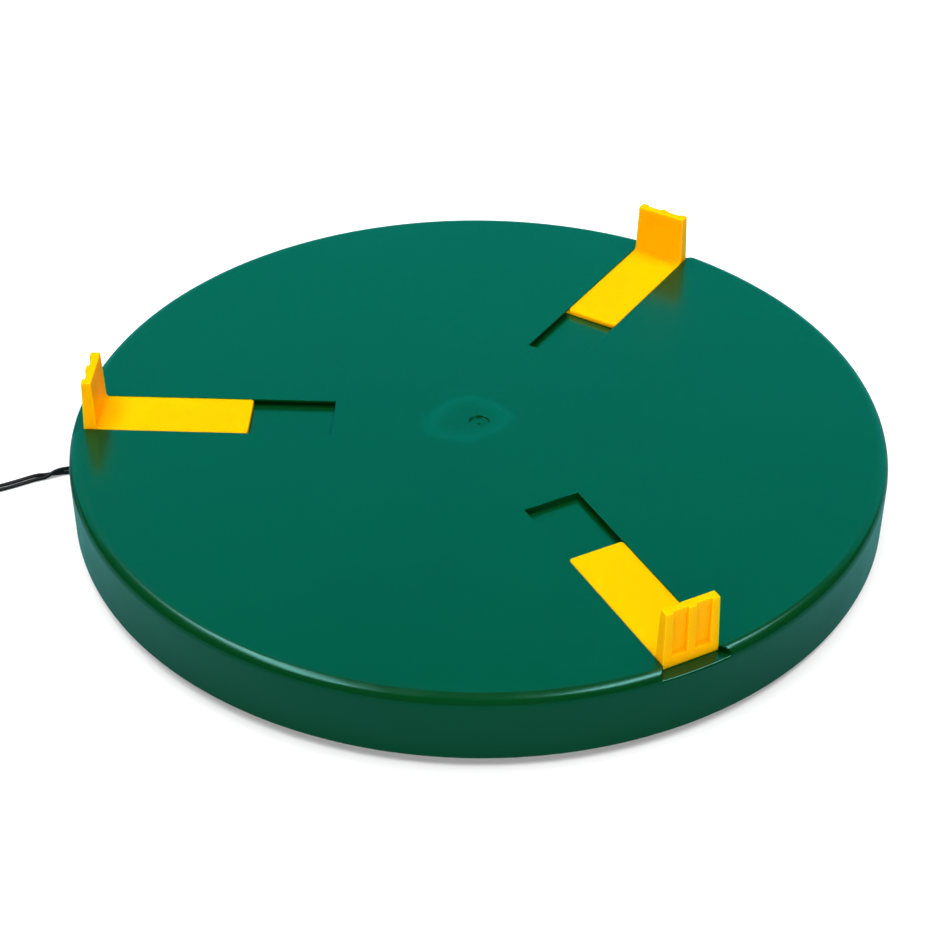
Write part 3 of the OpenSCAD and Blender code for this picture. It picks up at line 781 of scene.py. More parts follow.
@dataclass
class Platter:
    """Turning platter, moulded in one piece: plate, skirt, channels, hub and ribs."""

    plate_t: float = 3 * MM
    skirt_t: float = 2.4 * MM
    rim_round: float = 6 * MM
    channel_w: float = 32.4 * MM
    channel_in: float = 81 * MM
    channel_depth: float = 3.9 * MM
    lip_t: float = 1.0 * MM
    lip_reach: float = 3.4 * MM
    slant: float = 38
    slant_in: float = 7 * MM
    slant_back: float = 2 * MM
    slant_out: float = 14 * MM
    slant_w: float = 8 * MM
    slant_under: float = 0.2 * MM
    trough_t: float = 2.4 * MM
    dimple_r: float = 5.8 * MM
    dimple_depth: float = 1.2 * MM
    dimple_round: float = 0.5 * MM
    stub_r: float = 0.8 * MM
    hub_r: float = 13 * MM
    axle_r: float = 5.03 * MM
    pip_r: float = 2 * MM
    pip_x: float = 132.5 * MM
    pip_h: float = 1 * MM
    end_gap: float = 0.3 * MM
    rib_t: float = 2 * MM
    rib_up: float = 2 * MM
    gear_rib_r: float = 76.25 * MM
    track_ribs: Span = (144 * MM, 156 * MM)
    track_rib_up: float = 0.6 * MM
    boss_r: float = 5 * MM
    boss_x: float = 84 * MM
    screw_r: float = 1.48 * MM
    boss_angles: tuple[float, ...] = (0, 120, 240)
    rib_step: float = 18
    rim_sides: int = 360
    rim_steps: int = 8
    edge: float = 0.45 * MM
    ledge_edge: float = 0.85 * MM
    skirt_edge: float = 0.6 * MM
    merge: float = 0.06 * MM
    low: float = field(init=False)
    top: float = field(init=False)
    radius: float = field(init=False)
    hub_low: float = field(init=False)
    rib_low: float = field(init=False)

    def __post_init__(self) -> None:
        """Takes the outer sizes from the frame."""
        low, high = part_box("platter")
        self.low, self.top, self.radius = low.z, high.z, high.x
        self.hub_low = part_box("thrust_washer")[1].z + self.end_gap
        self.rib_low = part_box("ring_gear")[1].z

    @property
    def plate_low(self) -> float:
        """Height of the plate's underside."""
        return self.top - self.plate_t

    @property
    def floor(self) -> float:
        """Height of a channel's floor."""
        return self.top - self.channel_depth

    @property
    def lip_low(self) -> float:
        """Height of the underside of a channel's lips."""
        return self.top - self.lip_t

    @property
    def groove_w(self) -> float:
        """Width of a channel under its lips."""
        return self.channel_w + 2 * self.lip_reach

    @property
    def dimple_low(self) -> float:
        """Height of the dimple's bottom."""
        return self.top - self.dimple_depth

    def shell(self) -> Piece:
        """Models the plate and skirt from one drum, with a round rim and a hollow underside.

        Returns:
            The shell.
        """
        piece = drum("platter_moulding", self.radius, self.low, self.top, self.rim_sides)
        round_edges(piece, both(lambda p: near(p.z, self.top)), self.rim_round, self.rim_steps)
        pick_faces(piece, lambda middle, out: out.z < -FACING)
        bpy.ops.mesh.inset(thickness=self.skirt_t)
        bpy.ops.mesh.extrude_region_move(TRANSFORM_OT_translate={"value": (0, 0, self.plate_low - self.low)})
        close()
        round_edges(piece, both(lambda p: near(p.z, self.plate_low)), self.plate_t, steps=4)
        round_edges(piece, both(lambda p: near(p.z, self.low)), self.skirt_edge, steps=3)
        return piece

    def underside(self) -> list[Piece]:
        """Models the troughs, hub, bosses and ribs under the plate.

        Returns:
            The solids.
        """
        into = self.plate_low + 2 * SINK
        skirt_in = self.radius - self.skirt_t
        trough_w = self.groove_w + 2 * self.trough_t
        trough = box(
            "trough",
            (self.channel_in - self.trough_t, -trough_w / 2, self.floor - self.trough_t),
            (skirt_in + 3 * SINK, trough_w / 2, into),
        )
        made = around(trough, [channel.value for channel in Channel])
        made.append(drum("hub", self.hub_r, self.hub_low, into + 2 * SINK, sides=64))
        half = self.rib_t / 2
        round_ribs = {self.gear_rib_r: self.rib_low}
        round_ribs |= {r: self.rib_low + self.track_rib_up for r in self.track_ribs}
        for r, low in round_ribs.items():
            made.append(hoop("round_rib", r - half, r + half, low, into + 3 * SINK, sides=144))
        inner, outer = self.track_ribs
        rib_angles = [middle + self.rib_step * k for middle in self.boss_angles for k in range(-2, 3)]
        for r_in, r_out in ((self.hub_r - 5 * SINK, inner), (outer, skirt_in + 4 * SINK)):
            rib = box("rib", (r_in, -half, self.rib_low + self.rib_up), (r_out, half, into + SINK))
            made += around(rib, rib_angles)
        for angle in self.boss_angles:
            middle = polar(self.boss_x, angle)[:2]
            made.append(drum("boss", self.boss_r, self.rib_low, into + 4 * SINK, 32, middle))
        return made

    def channel_tool(self) -> Piece:
        """Models the T-shaped space of a channel, out past the rim, along X.

        Returns:
            The space.
        """
        tool = box(
            "channel",
            (self.channel_in, -self.groove_w / 2, self.floor),
            (self.radius + 10 * PAST, self.groove_w / 2, self.lip_low),
        )
        for side in (-1, 1):
            slice_at(tool, (0, side * self.channel_w / 2, 0), (0, 1, 0))
        push(
            tool,
            lambda middle, out: out.z > FACING and abs(middle.y) < self.channel_w / 2,
            (0, 0, self.lip_t + PAST),
        )
        return tool

    def slant_tool(self, side: int) -> Piece:
        """Models the space where the end of a lip slants away at the rim, beside a channel along X.

        Args:
            side: 1 or -1, the side of the channel.

        Returns:
            The space.
        """
        right, left = sorted((0, -side * self.slant_w))
        tool = box(
            "slant",
            (-self.slant_back, right, self.lip_low - self.slant_under),
            (self.slant_out, left, self.top + PAST),
        )
        tool.location = (self.radius - self.slant_in, side * self.channel_w / 2, 0)
        tool.rotation_euler.z = side * math.radians(self.slant)
        bpy.ops.object.transform_apply(location=True, rotation=True, scale=True)
        return tool

    def cuts(self) -> list[Piece]:
        """Models the spaces of the channels, the dimple, the axle and the screws.

        Returns:
            The spaces.
        """
        made = []
        for tool in (self.channel_tool(), self.slant_tool(1), self.slant_tool(-1)):
            made += around(tool, [channel.value for channel in Channel])
        dimple = drum("dimple", self.dimple_r, self.dimple_low, self.top + PAST, sides=64)
        round_edges(dimple, both(lambda p: near(p.z, self.dimple_low)), self.dimple_round, steps=3)
        made.append(dimple)
        made.append(drum("bore", self.axle_r, self.hub_low - PAST, self.plate_low - SINK / 2, sides=48))
        for angle in self.boss_angles:
            middle = polar(self.boss_x, angle)[:2]
            made.append(drum("hole", self.screw_r, self.rib_low - PAST, self.plate_low - SINK, 24, middle))
        return made

    def pips(self) -> list[Piece]:
        """Models the stop pips on the channels' floors and the stub of the gate in the dimple.

        Returns:
            The solids.
        """
        made = []
        for channel in Channel:
            middle = polar(self.pip_x, channel.value)[:2]
            made.append(drum("pip", self.pip_r, self.floor - 5 * SINK, self.floor + self.pip_h, 32, middle))
        stub_top = self.dimple_low + self.dimple_depth / 2
        stub = drum("stub", self.stub_r, self.dimple_low - 5 * SINK, stub_top, sides=24)
        round_edges(stub, both(lambda p: near(p.z, stub_top)), self.edge, steps=4)
        return [*made, stub]

    def on_skin(self, p: Vector) -> bool:
        """Tells whether a point is on the top face or the rim's round.

        Args:
            p: The point.

        Returns:
            Yes or no.
        """
        core = self.radius - self.rim_round
        out = p.xy.length - core
        if out < 0:
            return near(p.z, self.top)
        up = p.z - self.top + self.rim_round
        return up > -TOUCH and abs(math.hypot(out, up) - self.rim_round) < 2 * TOUCH

    def on_mouth(self, p: Vector, channel: Channel) -> bool:
        """Tells whether a point is on the outline of a channel's opening.

        Args:
            p: The point.
            channel: The channel.

        Returns:
            Yes or no.
        """
        q = Matrix.Rotation(-math.radians(channel.value), 3, "Z") @ p
        if q.x < self.channel_in - TOUCH or not self.on_skin(p):
            return False
        side = abs(q.y)
        mouth, groove = self.channel_w / 2, self.groove_w / 2
        turn = math.radians(self.slant)
        off = (q.x - self.radius + self.slant_in) * math.sin(turn) - (side - mouth) * math.cos(turn)
        return (
            (near(side, mouth) and q.z > self.lip_low - TOUCH)
            or (near(q.x, self.channel_in) and side < mouth + TOUCH)
            or (near(off, 0) and mouth - TOUCH < side and q.z > self.lip_low - self.slant_under - SINK)
            or (near(side, groove) and self.floor - TOUCH < q.z)
        )

    def on_ledge(self, p: Vector) -> bool:
        """Tells whether a point is on the outer edge of a channel's floor."""
        return near(p.z, self.floor) and self.on_skin(p)

    def soften(self, piece: Piece) -> None:
        """Rounds the edges of the channels and of the dimple.

        Args:
            piece: The platter.
        """
        tidy_mesh(piece, self.merge)
        round_edges(piece, both(self.on_ledge), self.ledge_edge, steps=5)
        for channel in Channel:
            round_edges(piece, both(lambda p: self.on_mouth(p, channel)), self.edge, steps=3)
        on_dimple = both(lambda p: near(p.z, self.top) and near(p.xy.length, self.dimple_r))
        round_edges(piece, on_dimple, self.edge, steps=3)

    def hold_in(self, piece: Piece) -> None:
        """Draws points that a round pushed out of the platter's outline back onto it.

        Args:
            piece: The platter.
        """
        core = self.radius - self.rim_round
        for v in piece.data.vertices:
            r = v.co.xy.length
            up = v.co.z - self.top + self.rim_round
            if r > core and up > 0:
                over = math.hypot(r - core, up) / self.rim_round
                if over > 1:
                    r_new = core + (r - core) / over
                    v.co = (v.co.x * r_new / r, v.co.y * r_new / r, self.top - self.rim_round + up / over)
            elif r > self.radius:
                v.co.xy *= self.radius / r
            v.co.z = min(v.co.z, self.top)

    def build(self, finishes: Finishes) -> Piece:
        """Models the platter and dresses it.

        Args:
            finishes: The object's materials.

        Returns:
            The platter.
        """
        piece = self.shell()
        combine(piece, self.underside(), Join.FUSE)
        combine(piece, self.cuts(), Join.CUT)
        combine(piece, self.pips(), Join.FUSE)
        self.soften(piece)
        self.hold_in(piece)
        smooth(piece)
        return finishes.dress(piece, "green_plastic", "turning_platter", ["platter"])


@dataclass
class Clamp:
    """Sliding clamp: plate with flanges, and an upright with two recesses on its outer face."""

    width: float = 31.8 * MM
    length: float = 90 * MM
    upright_t: float = 7 * MM
    draft: float = 0.5 * MM
    lean: float = 1.2 * MM
    taper: float = 0.8 * MM
    plate_t: float = 3.4 * MM
    fillet: float = 2 * MM
    corner: float = 1.6 * MM
    flange_reach: float = 3.4 * MM
    flange_t: float = 1.5 * MM
    flange_len: float = 73 * MM
    flange_inset: float = 0.05 * MM
    flange_lift: float = 0.02 * MM
    rib_w: float = 4.4 * MM
    recess_depth: float = 2.6 * MM
    recess_sill: float = 3 * MM
    recess_round: float = 1.6 * MM
    slot_w: float = 4.6 * MM
    slot_len: float = 50.5 * MM
    slot_wall: float = 3 * MM
    slot_h: float = 1 * MM
    edge: float = 0.5 * MM
    merge: float = 0.02 * MM
    low: float = field(init=False)
    high: float = field(init=False)
    outer: float = field(init=False)

    def __post_init__(self) -> None:
        """Takes the outer sizes from the left clamp, which points along -X."""
        low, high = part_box(Channel.LEFT.node)
        self.low, self.high, self.outer = low.z, high.z, -low.x

    @property
    def inner(self) -> float:
        """Distance of the plate's inner end from the turning axis."""
        return self.outer - self.length

    @property
    def plate_top(self) -> float:
        """Height of the plate's top."""
        return self.low + self.plate_t

    @property
    def foot(self) -> float:
        """Distance of the upright's inner face from the turning axis, at its foot."""
        return self.outer - self.upright_t

    def bar(self) -> Piece:
        """Models the plate and the upright from one box, along X.

        Returns:
            The bar.
        """
        half = self.width / 2
        piece = box("clamp", (self.inner, -half, self.low), (self.outer, half, self.plate_top))
        slice_at(piece, (self.foot, 0, 0), (1, 0, 0))
        push(
            piece,
            lambda middle, out: out.z > FACING and middle.x > self.foot,
            (0, 0, self.high - self.plate_top),
        )
        kept = 1 - (self.draft + self.lean) / self.upright_t
        pick_faces(piece, lambda middle, out: out.z > FACING and near(middle.z, self.high))
        bpy.ops.transform.resize(
            value=(kept, 1 - self.taper / half, 1),
            center_override=(self.foot + self.draft / (1 - kept), 0, self.high),
        )
        close()
        at_foot = both(lambda p: near(p.x, self.foot) and near(p.z, self.plate_top))
        round_edges(piece, at_foot, self.fillet, steps=6)
        at_end = both(lambda p: near(p.x, self.inner))
        round_edges(piece, lambda a, b: at_end(a, b) and near(a.y, b.y), self.corner, steps=5)
        return piece

    def flange(self) -> Piece:
        """Models the thin plate whose edges run under the channel's lips.

        Returns:
            The thin plate.
        """
        half = self.width / 2 + self.flange_reach
        piece = box(
            "flange",
            (self.inner + self.flange_inset, -half, self.low + self.flange_lift),
            (self.inner + self.flange_len, half, self.low + self.flange_t),
        )
        round_edges(piece, lambda a, b: near(a.x, b.x) and near(a.y, b.y), self.corner, steps=4)
        return piece

    def cuts(self) -> list[Piece]:
        """Models the two recesses and the slot for the stop pip.

        Returns:
            The spaces.
        """
        wide = (self.width - 3 * self.rib_w) / 2 - self.taper / 2
        sill = self.plate_top + self.recess_sill
        back = self.outer - self.recess_depth
        front = self.outer + PAST
        at_sill = both(lambda p: near(p.x, back) and near(p.z, sill))
        made = []
        for side in (-1, 1):
            y = side * (self.rib_w + wide) / 2
            tool = box("recess", (back, y - wide / 2, sill), (front, y + wide / 2, self.high + PAST))
            round_edges(tool, at_sill, self.recess_round, steps=5)
            made.append(tool)
        start = self.inner + self.slot_wall
        end = start + self.slot_len
        half = self.slot_w / 2
        made.append(box("slot", (start, -half, self.low - PAST), (end, half, self.low + self.slot_h)))
        return made

    def build(self, finishes: Finishes) -> list[Piece]:
        """Models one clamp and puts a copy in each channel.

        Args:
            finishes: The object's materials.

        Returns:
            The three clamps.
        """
        model = self.bar()
        combine(model, [self.flange()], Join.FUSE)
        combine(model, self.cuts(), Join.CUT)
        tidy_mesh(model, self.merge)
        bevel(model, self.edge, steps=3, degrees=50)
        smooth(model)
        made = []
        for channel in Channel:
            piece = turned(model, channel.value, f"{channel.name.lower()}_clamp_moulding")
            made.append(finishes.dress(piece, "yellow_plastic", channel.body, [channel.node]))
        bpy.data.objects.remove(model)
        return made


def catmull(points: Sequence[Vector], parts: int) -> list[Vector]:
    """Runs a smooth line through points.

    Args:
        points: The points.
        parts: Number of pieces that each stretch between two points is cut into.

    Returns:
        The line's points.
    """
    line = []
    last = len(points) - 1
    for i in range(last):
        a, b, c, d = (points[min(max(i + k, 0), last)] for k in (-1, 0, 1, 2))
        square = 2 * a - 5 * b + 4 * c - d
        cube = 3 * b - a - 3 * c + d
        for n in range(parts):
            t = n / parts
            line.append(0.5 * (2 * b + (c - a) * t + square * t**2 + cube * t**3))
    return [*line, points[last]]


def wire(name: str, line: Sequence[Vector], diameter: float) -> Piece:
    """Models a round wire along a line.

    Args:
        name: Name of the new piece.
        line: Its middle line.
        diameter: Its diameter.

    Returns:
        The wire, as a mesh with closed ends.
    """
    curve = bpy.data.curves.new(name, "CURVE")
    curve.dimensions = "3D"
    curve.bevel_depth = diameter / 2
    curve.bevel_resolution = 3
    curve.use_fill_caps = True
    spline = curve.splines.new("POLY")
    spline.points.add(len(line) - 1)
    for point, place in zip(spline.points, line):
        point.co = (*place, 1)
    piece = bpy.data.objects.new(name, curve)
    bpy.context.scene.collection.objects.link(piece)
    take(piece)
    bpy.ops.object.convert(target="MESH")
    return bpy.context.active_object


# Middle line of the loose lead, in millimetres from under the end of the grommet's nose
LEAD_STEPS = (
    (-7.1, 0.2, 10.2), (-14.1, 0.1, 8.2), (-21.1, -0.6, 5.3), (-28.1, -1.9, 3), (-36.1, -4, 2.2),
    (-44.1, -6.6, 2.2), (-52.1, -9.6, 2.2), (-59.1, -13.2, 2.2), (-66.1, -17.3, 2.2), (-73.1, -21.4, 2.2),
    (-80.1, -25, 2.2), (-88.1, -28.4, 2.2), (-97.1, -31.1, 2.5), (-106.1, -32.4, 2.9),
)


@dataclass
class Lead:
    """Two insulated wires twisted together, from the grommet along the floor to a tied coil and a plug."""

    wire_d: float = 2.2 * MM
    direction: float = 178
    grommet_in: float = 161.8 * MM
    nose_end: float = 190 * MM
    height: float = 10.8 * MM
    grommet_run: float = 9 * MM
    nose_run: float = 10 * MM
    line_parts: int = 5
    coil_from_nose: Span = (-127.1 * MM, 2.4 * MM)
    coil_start: float = 270
    coil_first: float = 1 / 24
    coil_in_r: float = 12.3 * MM
    coil_pitch: float = 4.9 * MM
    layer_turns: float = 4.625
    lead_out: float = 9 * MM
    plug_in: float = 2 * MM
    steps_per_turn: int = 60
    tie_t: float = 0.7 * MM
    tie_w: float = 6 * MM
    tie_gap: float = 0.1 * MM
    tie_room: float = 2.5 * MM
    tie_round: float = 2.4 * MM
    tie_edge: float = 0.2 * MM
    buckle_len: float = 7 * MM
    buckle_over: float = 1 * MM
    buckle_sink: float = 0.3 * MM
    buckle_h: float = 1.4 * MM
    tilt: float = 53
    crossing: float = 84 * MM
    crossing_len: float = 22 * MM
    twist_from: float = 122 * MM
    half_turn: float = 23 * MM

    @property
    def cord_d(self) -> float:
        """Diameter of the twisted pair."""
        return 2 * self.wire_d

    @property
    def exit(self) -> Vector:
        """Point where the lead leaves the grommet's nose."""
        return polar(self.nose_end, self.direction, self.height)

    @property
    def low_z(self) -> float:
        """Height of the middle of the coil's lower layer."""
        return self.tie_t + self.cord_d / 2 + self.tie_gap

    @property
    def coil_middle(self) -> Vector:
        """Point of the floor under the coil's middle."""
        nose = polar(self.nose_end, self.direction)
        return nose + Vector((*self.coil_from_nose, 0))

    @property
    def coil_out_r(self) -> float:
        """Radius of the coil's outermost turn."""
        return self.coil_in_r + self.coil_pitch * self.layer_turns

    def coil_point(self, turns: float) -> Vector:
        """Returns the coil's middle line after some turns: in along the floor, up a layer, and out again.

        Args:
            turns: Number of turns from the coil's start.

        Returns:
            The point.
        """
        over = turns - self.layer_turns
        r = self.coil_in_r + self.coil_pitch * abs(over)
        angle = self.coil_start - 360 * turns
        held = max(0.0, math.sin(math.radians(angle))) ** 4
        z = self.low_z + self.coil_pitch * ease(2 * over + 0.5) - self.tie_t * (1 - held)
        return self.coil_middle + polar(r, angle, z)

    def loose_run(self) -> list[Vector]:
        """Returns the middle line from the grommet to the coil, smoothed through its points.

        Returns:
            The line's points.
        """
        nose = polar(self.nose_end, self.direction)
        straight = (self.grommet_in + self.grommet_run, self.nose_end - self.nose_run)
        radii = (self.grommet_in, *straight, self.nose_end)
        points = [polar(r, self.direction, self.height) for r in radii]
        points += [nose + Vector(step) * MM for step in LEAD_STEPS]
        start = self.coil_point(0)
        points += [start + Vector((d * self.cord_d, 0, 0)) for d in (3, 1)]
        points += [start, self.coil_point(self.coil_first)]
        return catmull(points, self.line_parts)[: -self.line_parts]

    def route(self) -> list[Vector]:
        """Returns the lead's whole middle line, from the grommet to the plug.

        Returns:
            The line's points.
        """
        count = round(2 * self.layer_turns * self.steps_per_turn)
        coil = [self.coil_point(2 * self.layer_turns * i / count) for i in range(1, count + 1)]
        ways = (self.lead_out / 3, self.lead_out * 2 / 3, self.lead_out + self.plug_in)
        tail = [coil[-1] + Vector((0, way, 0)) for way in ways]
        return [*self.loose_run(), *coil, *tail]

    def twist(self, along: float) -> float:
        """Angle of the pair after some length: one crossing in the loose stretch, then an even twist.

        Args:
            along: The length, from the grommet.

        Returns:
            The angle.
        """
        crossed = ease((along - self.crossing) / self.crossing_len + 0.5)
        even = max(0.0, along - self.twist_from) / self.half_turn
        return math.radians(self.tilt) + math.pi * (crossed + even)

    def wires(self) -> tuple[list[Vector], list[list[Vector]]]:
        """Works out the pair's lines.

        Returns:
            The middle line, lowered where the pair lies flat on the floor, and the lines of the two wires.
        """
        route = self.route()
        wire_r = self.wire_d / 2
        middle: list[Vector] = []
        lines: list[list[Vector]] = [[], []]
        along = 0.0
        for i, p in enumerate(route):
            along += (p - route[i - 1]).length if i else 0.0
            ahead = (route[min(i + 1, len(route) - 1)] - route[max(i - 1, 0)]).normalized()
            side = ahead.cross(Vector((0, 0, 1))).normalized()
            up = side.cross(ahead)
            angle = self.twist(along)
            flat = ease((self.low_z - p.z) / (self.low_z - self.cord_d / 2))
            on_floor = flat if along < self.twist_from else 0.0
            point = p - Vector((0, 0, on_floor * wire_r * (1 - abs(math.sin(angle)))))
            reach = wire_r * (math.cos(angle) * side + math.sin(angle) * up)
            middle.append(point)
            lines[0].append(point + reach)
            lines[1].append(point - reach)
        return middle, lines

    def build(self, finishes: Finishes) -> tuple[Piece, list[Vector]]:
        """Models the two wires as one piece and dresses it.

        Args:
            finishes: The object's materials.

        Returns:
            The lead, and its middle line.
        """
        middle, lines = self.wires()
        piece = weld([wire(f"wire_{k}", line, self.wire_d) for k, line in enumerate(lines)])
        piece.name = "lead_pair"
        piece.data.name = "lead_pair"
        take(piece)
        bpy.ops.object.shade_smooth_by_angle(angle=math.radians(60))
        return finishes.dress(piece, "black_plastic", "base", ["cord_free", "cord_coil"]), middle

    def build_tie(self, finishes: Finishes) -> Piece:
        """Models the strap round the coil's far side, with its buckle, and dresses it.

        Args:
            finishes: The object's materials.

        Returns:
            The strap.
        """
        at = self.coil_middle
        y_in = at.y + self.coil_in_r - self.tie_room - self.tie_t
        y_out = at.y + self.coil_out_r + self.tie_room + self.tie_t
        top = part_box("cord_tie")[1].z
        half = self.tie_w / 2
        piece = box("coil_strap", (at.x - half, y_in, 0), (at.x + half, y_out, top))
        pick_faces(piece, lambda middle, out: abs(out.x) > FACING)
        bpy.ops.mesh.delete(type="ONLY_FACE")
        close()
        round_edges(piece, lambda a, b: abs(a.x - b.x) > half, self.tie_round, steps=6)
        apply_modifier(piece, "SOLIDIFY", thickness=self.tie_t, offset=-1, use_even_offset=True)
        wide = half + self.buckle_over
        y_low = (y_in + y_out - self.buckle_len) / 2
        buckle = box(
            "buckle",
            (at.x - wide, y_low, top - self.buckle_sink),
            (at.x + wide, y_low + self.buckle_len, top + self.buckle_h),
        )
        combine(piece, [buckle], Join.FUSE)
        bevel(piece, self.tie_edge, steps=2, degrees=50)
        smooth(piece)
        return finishes.dress(piece, "rubber", "base", ["cord_tie"])


@dataclass
class Plug:
    """Flat two-pin plug with a ringed relief on the lead."""

    tip_r: float = 2.8 * MM
    foot_r: float = 4.8 * MM
    groove_n: int = 4
    groove_w: float = 1.6 * MM
    groove_depth: float = 0.9 * MM
    groove_slope: float = 0.25 * MM
    tip_round: float = 0.4 * MM
    neck_w: float = 15 * MM
    neck_h_share: float = 0.8
    shoulder: float = 0.45
    body_round: float = 2.2 * MM
    grip_n: int = 4
    grip_pitch: float = 2.6 * MM
    grip_depth: float = 0.6 * MM
    grip_w: float = 1 * MM
    grip_reach_share: float = 0.28

    def build_relief(self, finishes: Finishes) -> Piece:
        """Models the tapered sleeve, with rings sunk round it, and dresses it.

        Args:
            finishes: The object's materials.

        Returns:
            The sleeve.
        """
        low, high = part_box("plug_relief")
        middle, length = (low + high) / 2, high.y - low.y
        deselect()
        bpy.ops.mesh.primitive_cone_add(
            vertices=40,
            radius1=self.tip_r,
            radius2=self.foot_r,
            depth=length,
            location=middle,
            rotation=(-math.pi / 2, 0, 0),
        )
        piece = settle("plug_sleeve")
        half = self.groove_w / 2
        for k in range(1, self.groove_n + 1):
            y = low.y + length * k / (self.groove_n + 1)
            for side in (-1, 1):
                slice_at(piece, (0, y + side * half, 0), (0, 1, 0))
            pick_faces(piece, lambda at, out: abs(at.y - y) < half - TOUCH and abs(out.y) < FACING)
            bpy.ops.mesh.inset(thickness=self.groove_slope, depth=-self.groove_depth)
            close()
        round_edges(piece, both(lambda p: near(p.y, low.y)), self.tip_round, steps=3)
        smooth(piece)
        return finishes.dress(piece, "black_plastic", "base", ["plug_relief"])

    def grips(self, low: Vector, high: Vector) -> list[Piece]:
        """Models the spaces of the grip lines in the body's upper and lower face.

        Args:
            low: Lowest corner of the body.
            high: Highest corner of the body.

        Returns:
            The spaces.
        """
        x = (low.x + high.x) / 2
        reach = self.grip_reach_share * (high.x - low.x)
        half = self.grip_w / 2
        made = []
        for k in range(self.grip_n):
            y = low.y + (high.y - low.y) * self.shoulder + self.grip_pitch * (k + 0.5)
            for z, way in ((low.z, -1), (high.z, 1)):
                under, over = sorted((z - way * self.grip_depth, z + way * PAST))
                made.append(box("grip", (x - reach, y - half, under), (x + reach, y + half, over)))
        return made

    def build_body(self, finishes: Finishes) -> Piece:
        """Models the flat body, narrowed to its neck, with grip lines across both faces, and dresses it.

        Args:
            finishes: The object's materials.

        Returns:
            The body.
        """
        low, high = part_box("plug_body")
        middle = (low + high) / 2
        length = high.y - low.y
        piece = box("plug_shell", low, high)
        slice_at(piece, (0, low.y + length * self.shoulder, 0), (0, 1, 0))
        pick_faces(piece, lambda at, out: out.y < -FACING)
        bpy.ops.transform.resize(
            value=(self.neck_w / (high.x - low.x), 1, self.neck_h_share),
            center_override=(middle.x, low.y, middle.z),
        )
        close()
        bevel(piece, self.body_round, steps=5, degrees=20)
        combine(piece, self.grips(low, high), Join.CUT)
        smooth(piece)
        return finishes.dress(piece, "black_plastic", "base", ["plug_body"])


@dataclass(frozen=True)
class Softbox:
    """Rectangular light that faces the object and that the camera doesn't see.

    Its size is across the direction from the object and along it, seen from above. Its power is in watts.
    """

    name: str
    way: Place
    size: Span
    power: float
    tone: Colour = (1.0, 1.0, 1.0)
    distance: float = 4.0

    def hang(self, target: Vector) -> Piece:
        """Hangs the light.

        Args:
            target: Point that it faces.

        Returns:
            The light.
        """
        data = bpy.data.lights.new(self.name, "AREA")
        data.shape = "RECTANGLE"
        data.size, data.size_y = self.size
        data.energy = self.power
        data.color = self.tone
        light = bpy.data.objects.new(self.name, data)
        bpy.context.scene.collection.objects.link(light)
        light.location = target + self.distance * Vector(self.way).normalized()
        light.rotation_mode = "QUATERNION"
        light.rotation_quaternion = (target - light.location).to_track_quat("-Z", "Y")
        light.visible_camera = False
        return light


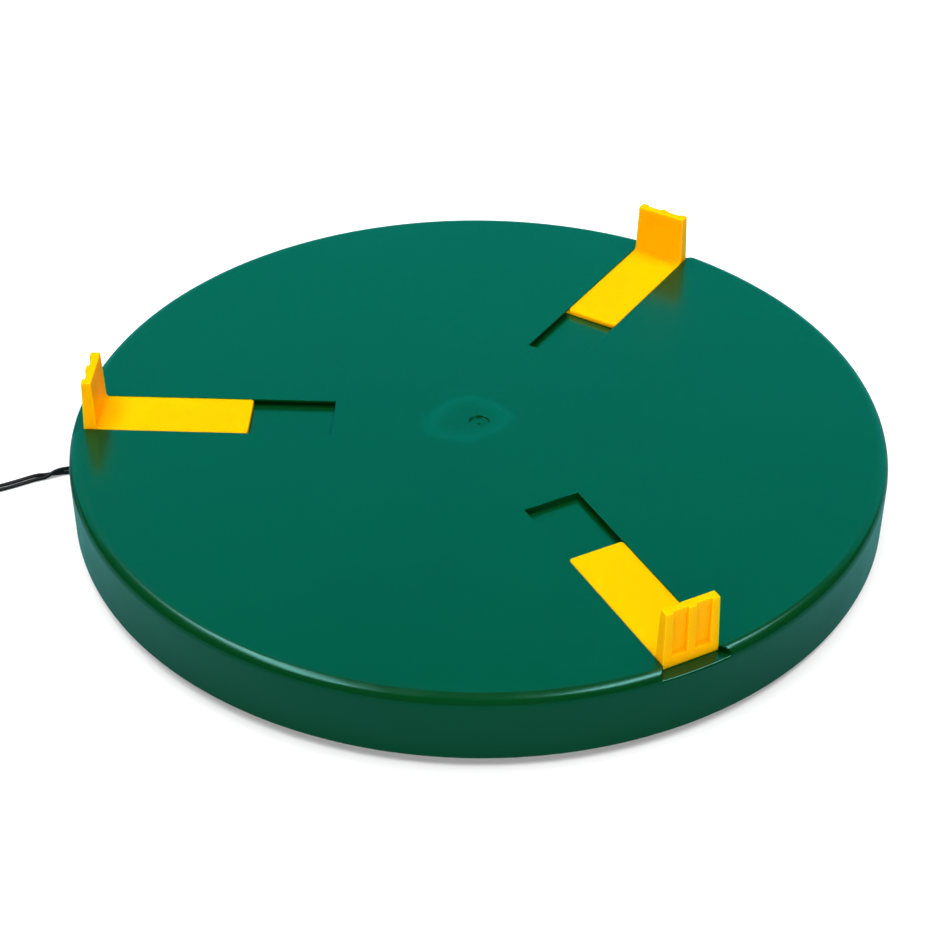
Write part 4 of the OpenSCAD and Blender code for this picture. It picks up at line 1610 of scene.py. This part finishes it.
@dataclass
class Studio:
    """Floor, light and camera of the picture."""

    target: Vector = field(default_factory=lambda: Vector((0, 0, 5.4 * MM)))
    azimuth: float = 1.688
    elevation: float = 37.086
    distance: float = 1.1902
    roll: float = 0.00825
    lens: float = 79.96
    shift: Span = (-0.00747, 0.00240)
    clip: Span = (0.05, 100)
    floor_size: float = 40.0
    floor: Paper = Paper("studio_floor", (0.88, 0.88, 0.88), (0.1, 0.33, 0.33), 0.05)
    sky: Colour = (0.05, 0.05, 0.05)
    sides: tuple[Softbox, ...] = (
        Softbox("left_box", (-0.42, 0.04, 0.91), (3.9, 0.9), 115),
        Softbox("right_box", (0.43, -0.08, 0.90), (3.0, 0.8), 105),
    )
    fills: tuple[Softbox, ...] = (
        Softbox("back_fill", (0.0, 0.35, 0.94), (3.0, 1.6), 100),
        Softbox("front_fill", (-0.1, -0.95, 0.3), (4.0, 2.0), 170),
    )
    card: Softbox = Softbox("back_card", (0.0, 0.895, 0.446), (12.0, 3.48), 149, (0.0, 0.95, 1.0))

    def build_floor(self) -> None:
        """Lays the floor, which isn't part of the object."""
        deselect()
        bpy.ops.mesh.primitive_plane_add(size=self.floor_size, location=(0, 0, 0))
        piece = settle("studio_floor")
        piece.data.materials.append(self.floor.material())

    def build_camera(self) -> None:
        """Places the camera at the photo's angle."""
        a, e = math.radians(self.azimuth), math.radians(self.elevation)
        back = Vector((math.sin(a) * math.cos(e), -math.cos(a) * math.cos(e), math.sin(e)))
        data = bpy.data.cameras.new("camera")
        data.lens = self.lens
        data.shift_x, data.shift_y = self.shift
        data.clip_start, data.clip_end = self.clip
        camera = bpy.data.objects.new("camera", data)
        bpy.context.scene.collection.objects.link(camera)
        camera.location = self.target + back * self.distance
        camera.rotation_mode = "QUATERNION"
        camera.rotation_quaternion = (-back).to_track_quat("-Z", "Y") @ Quaternion((0, 0, 1), self.roll)
        bpy.context.scene.camera = camera

    def build_sky(self) -> None:
        """Sets up a dim sky, which the camera sees as white."""
        world = bpy.data.worlds.new("studio")
        world.use_nodes = True
        tree = world.node_tree
        sky = next(n for n in tree.nodes if n.type == "BACKGROUND")
        shown = tree.nodes.new("ShaderNodeMix")
        shown.data_type = "RGBA"
        shown.inputs[MIX_FIRST].default_value = (*self.sky, 1)
        shown.inputs[MIX_SECOND].default_value = (1, 1, 1, 1)
        tree.links.new(tree.nodes.new("ShaderNodeLightPath").outputs["Is Camera Ray"], shown.inputs["Factor"])
        tree.links.new(shown.outputs[MIX_RESULT], sky.inputs["Color"])
        bpy.context.scene.world = world

    def build_light(self, platter: Piece) -> None:
        """Hangs two softboxes high at the sides, two fills that no gloss shows, and a card.

        Args:
            platter: The one piece whose gloss shows the card.
        """
        for light in self.sides:
            light.hang(self.target)
        for light in self.fills:
            light.hang(self.target).visible_glossy = False
        card = self.card.hang(self.target)
        card.visible_diffuse = False
        shown_in = bpy.data.collections.new("card_shown_in")
        shown_in.objects.link(platter)
        card.light_linking.receiver_collection = shown_in

    def build(self, platter: Piece) -> None:
        """Sets up the whole studio, with plain display colours.

        Args:
            platter: The piece whose gloss shows the card.
        """
        self.build_floor()
        self.build_sky()
        self.build_light(platter)
        self.build_camera()
        bpy.context.scene.view_settings.view_transform = "Standard"


def main() -> None:
    """Builds the looks in order around the frame and reports each piece."""
    logging.basicConfig(level=logging.INFO, format="%(message)s")
    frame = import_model()
    finishes = Finishes()
    finishes.paint_nodes(frame)
    platter = Platter().build(finishes)
    Clamp().build(finishes)
    lead = Lead()
    pair, line = lead.build(finishes)
    tie = lead.build_tie(finishes)
    plug = Plug()
    ends = [tie, plug.build_relief(finishes), plug.build_body(finishes), frame["nodes"]["plug_pins"]]
    Studio().build(platter)


if __name__ == "__main__":
    main()
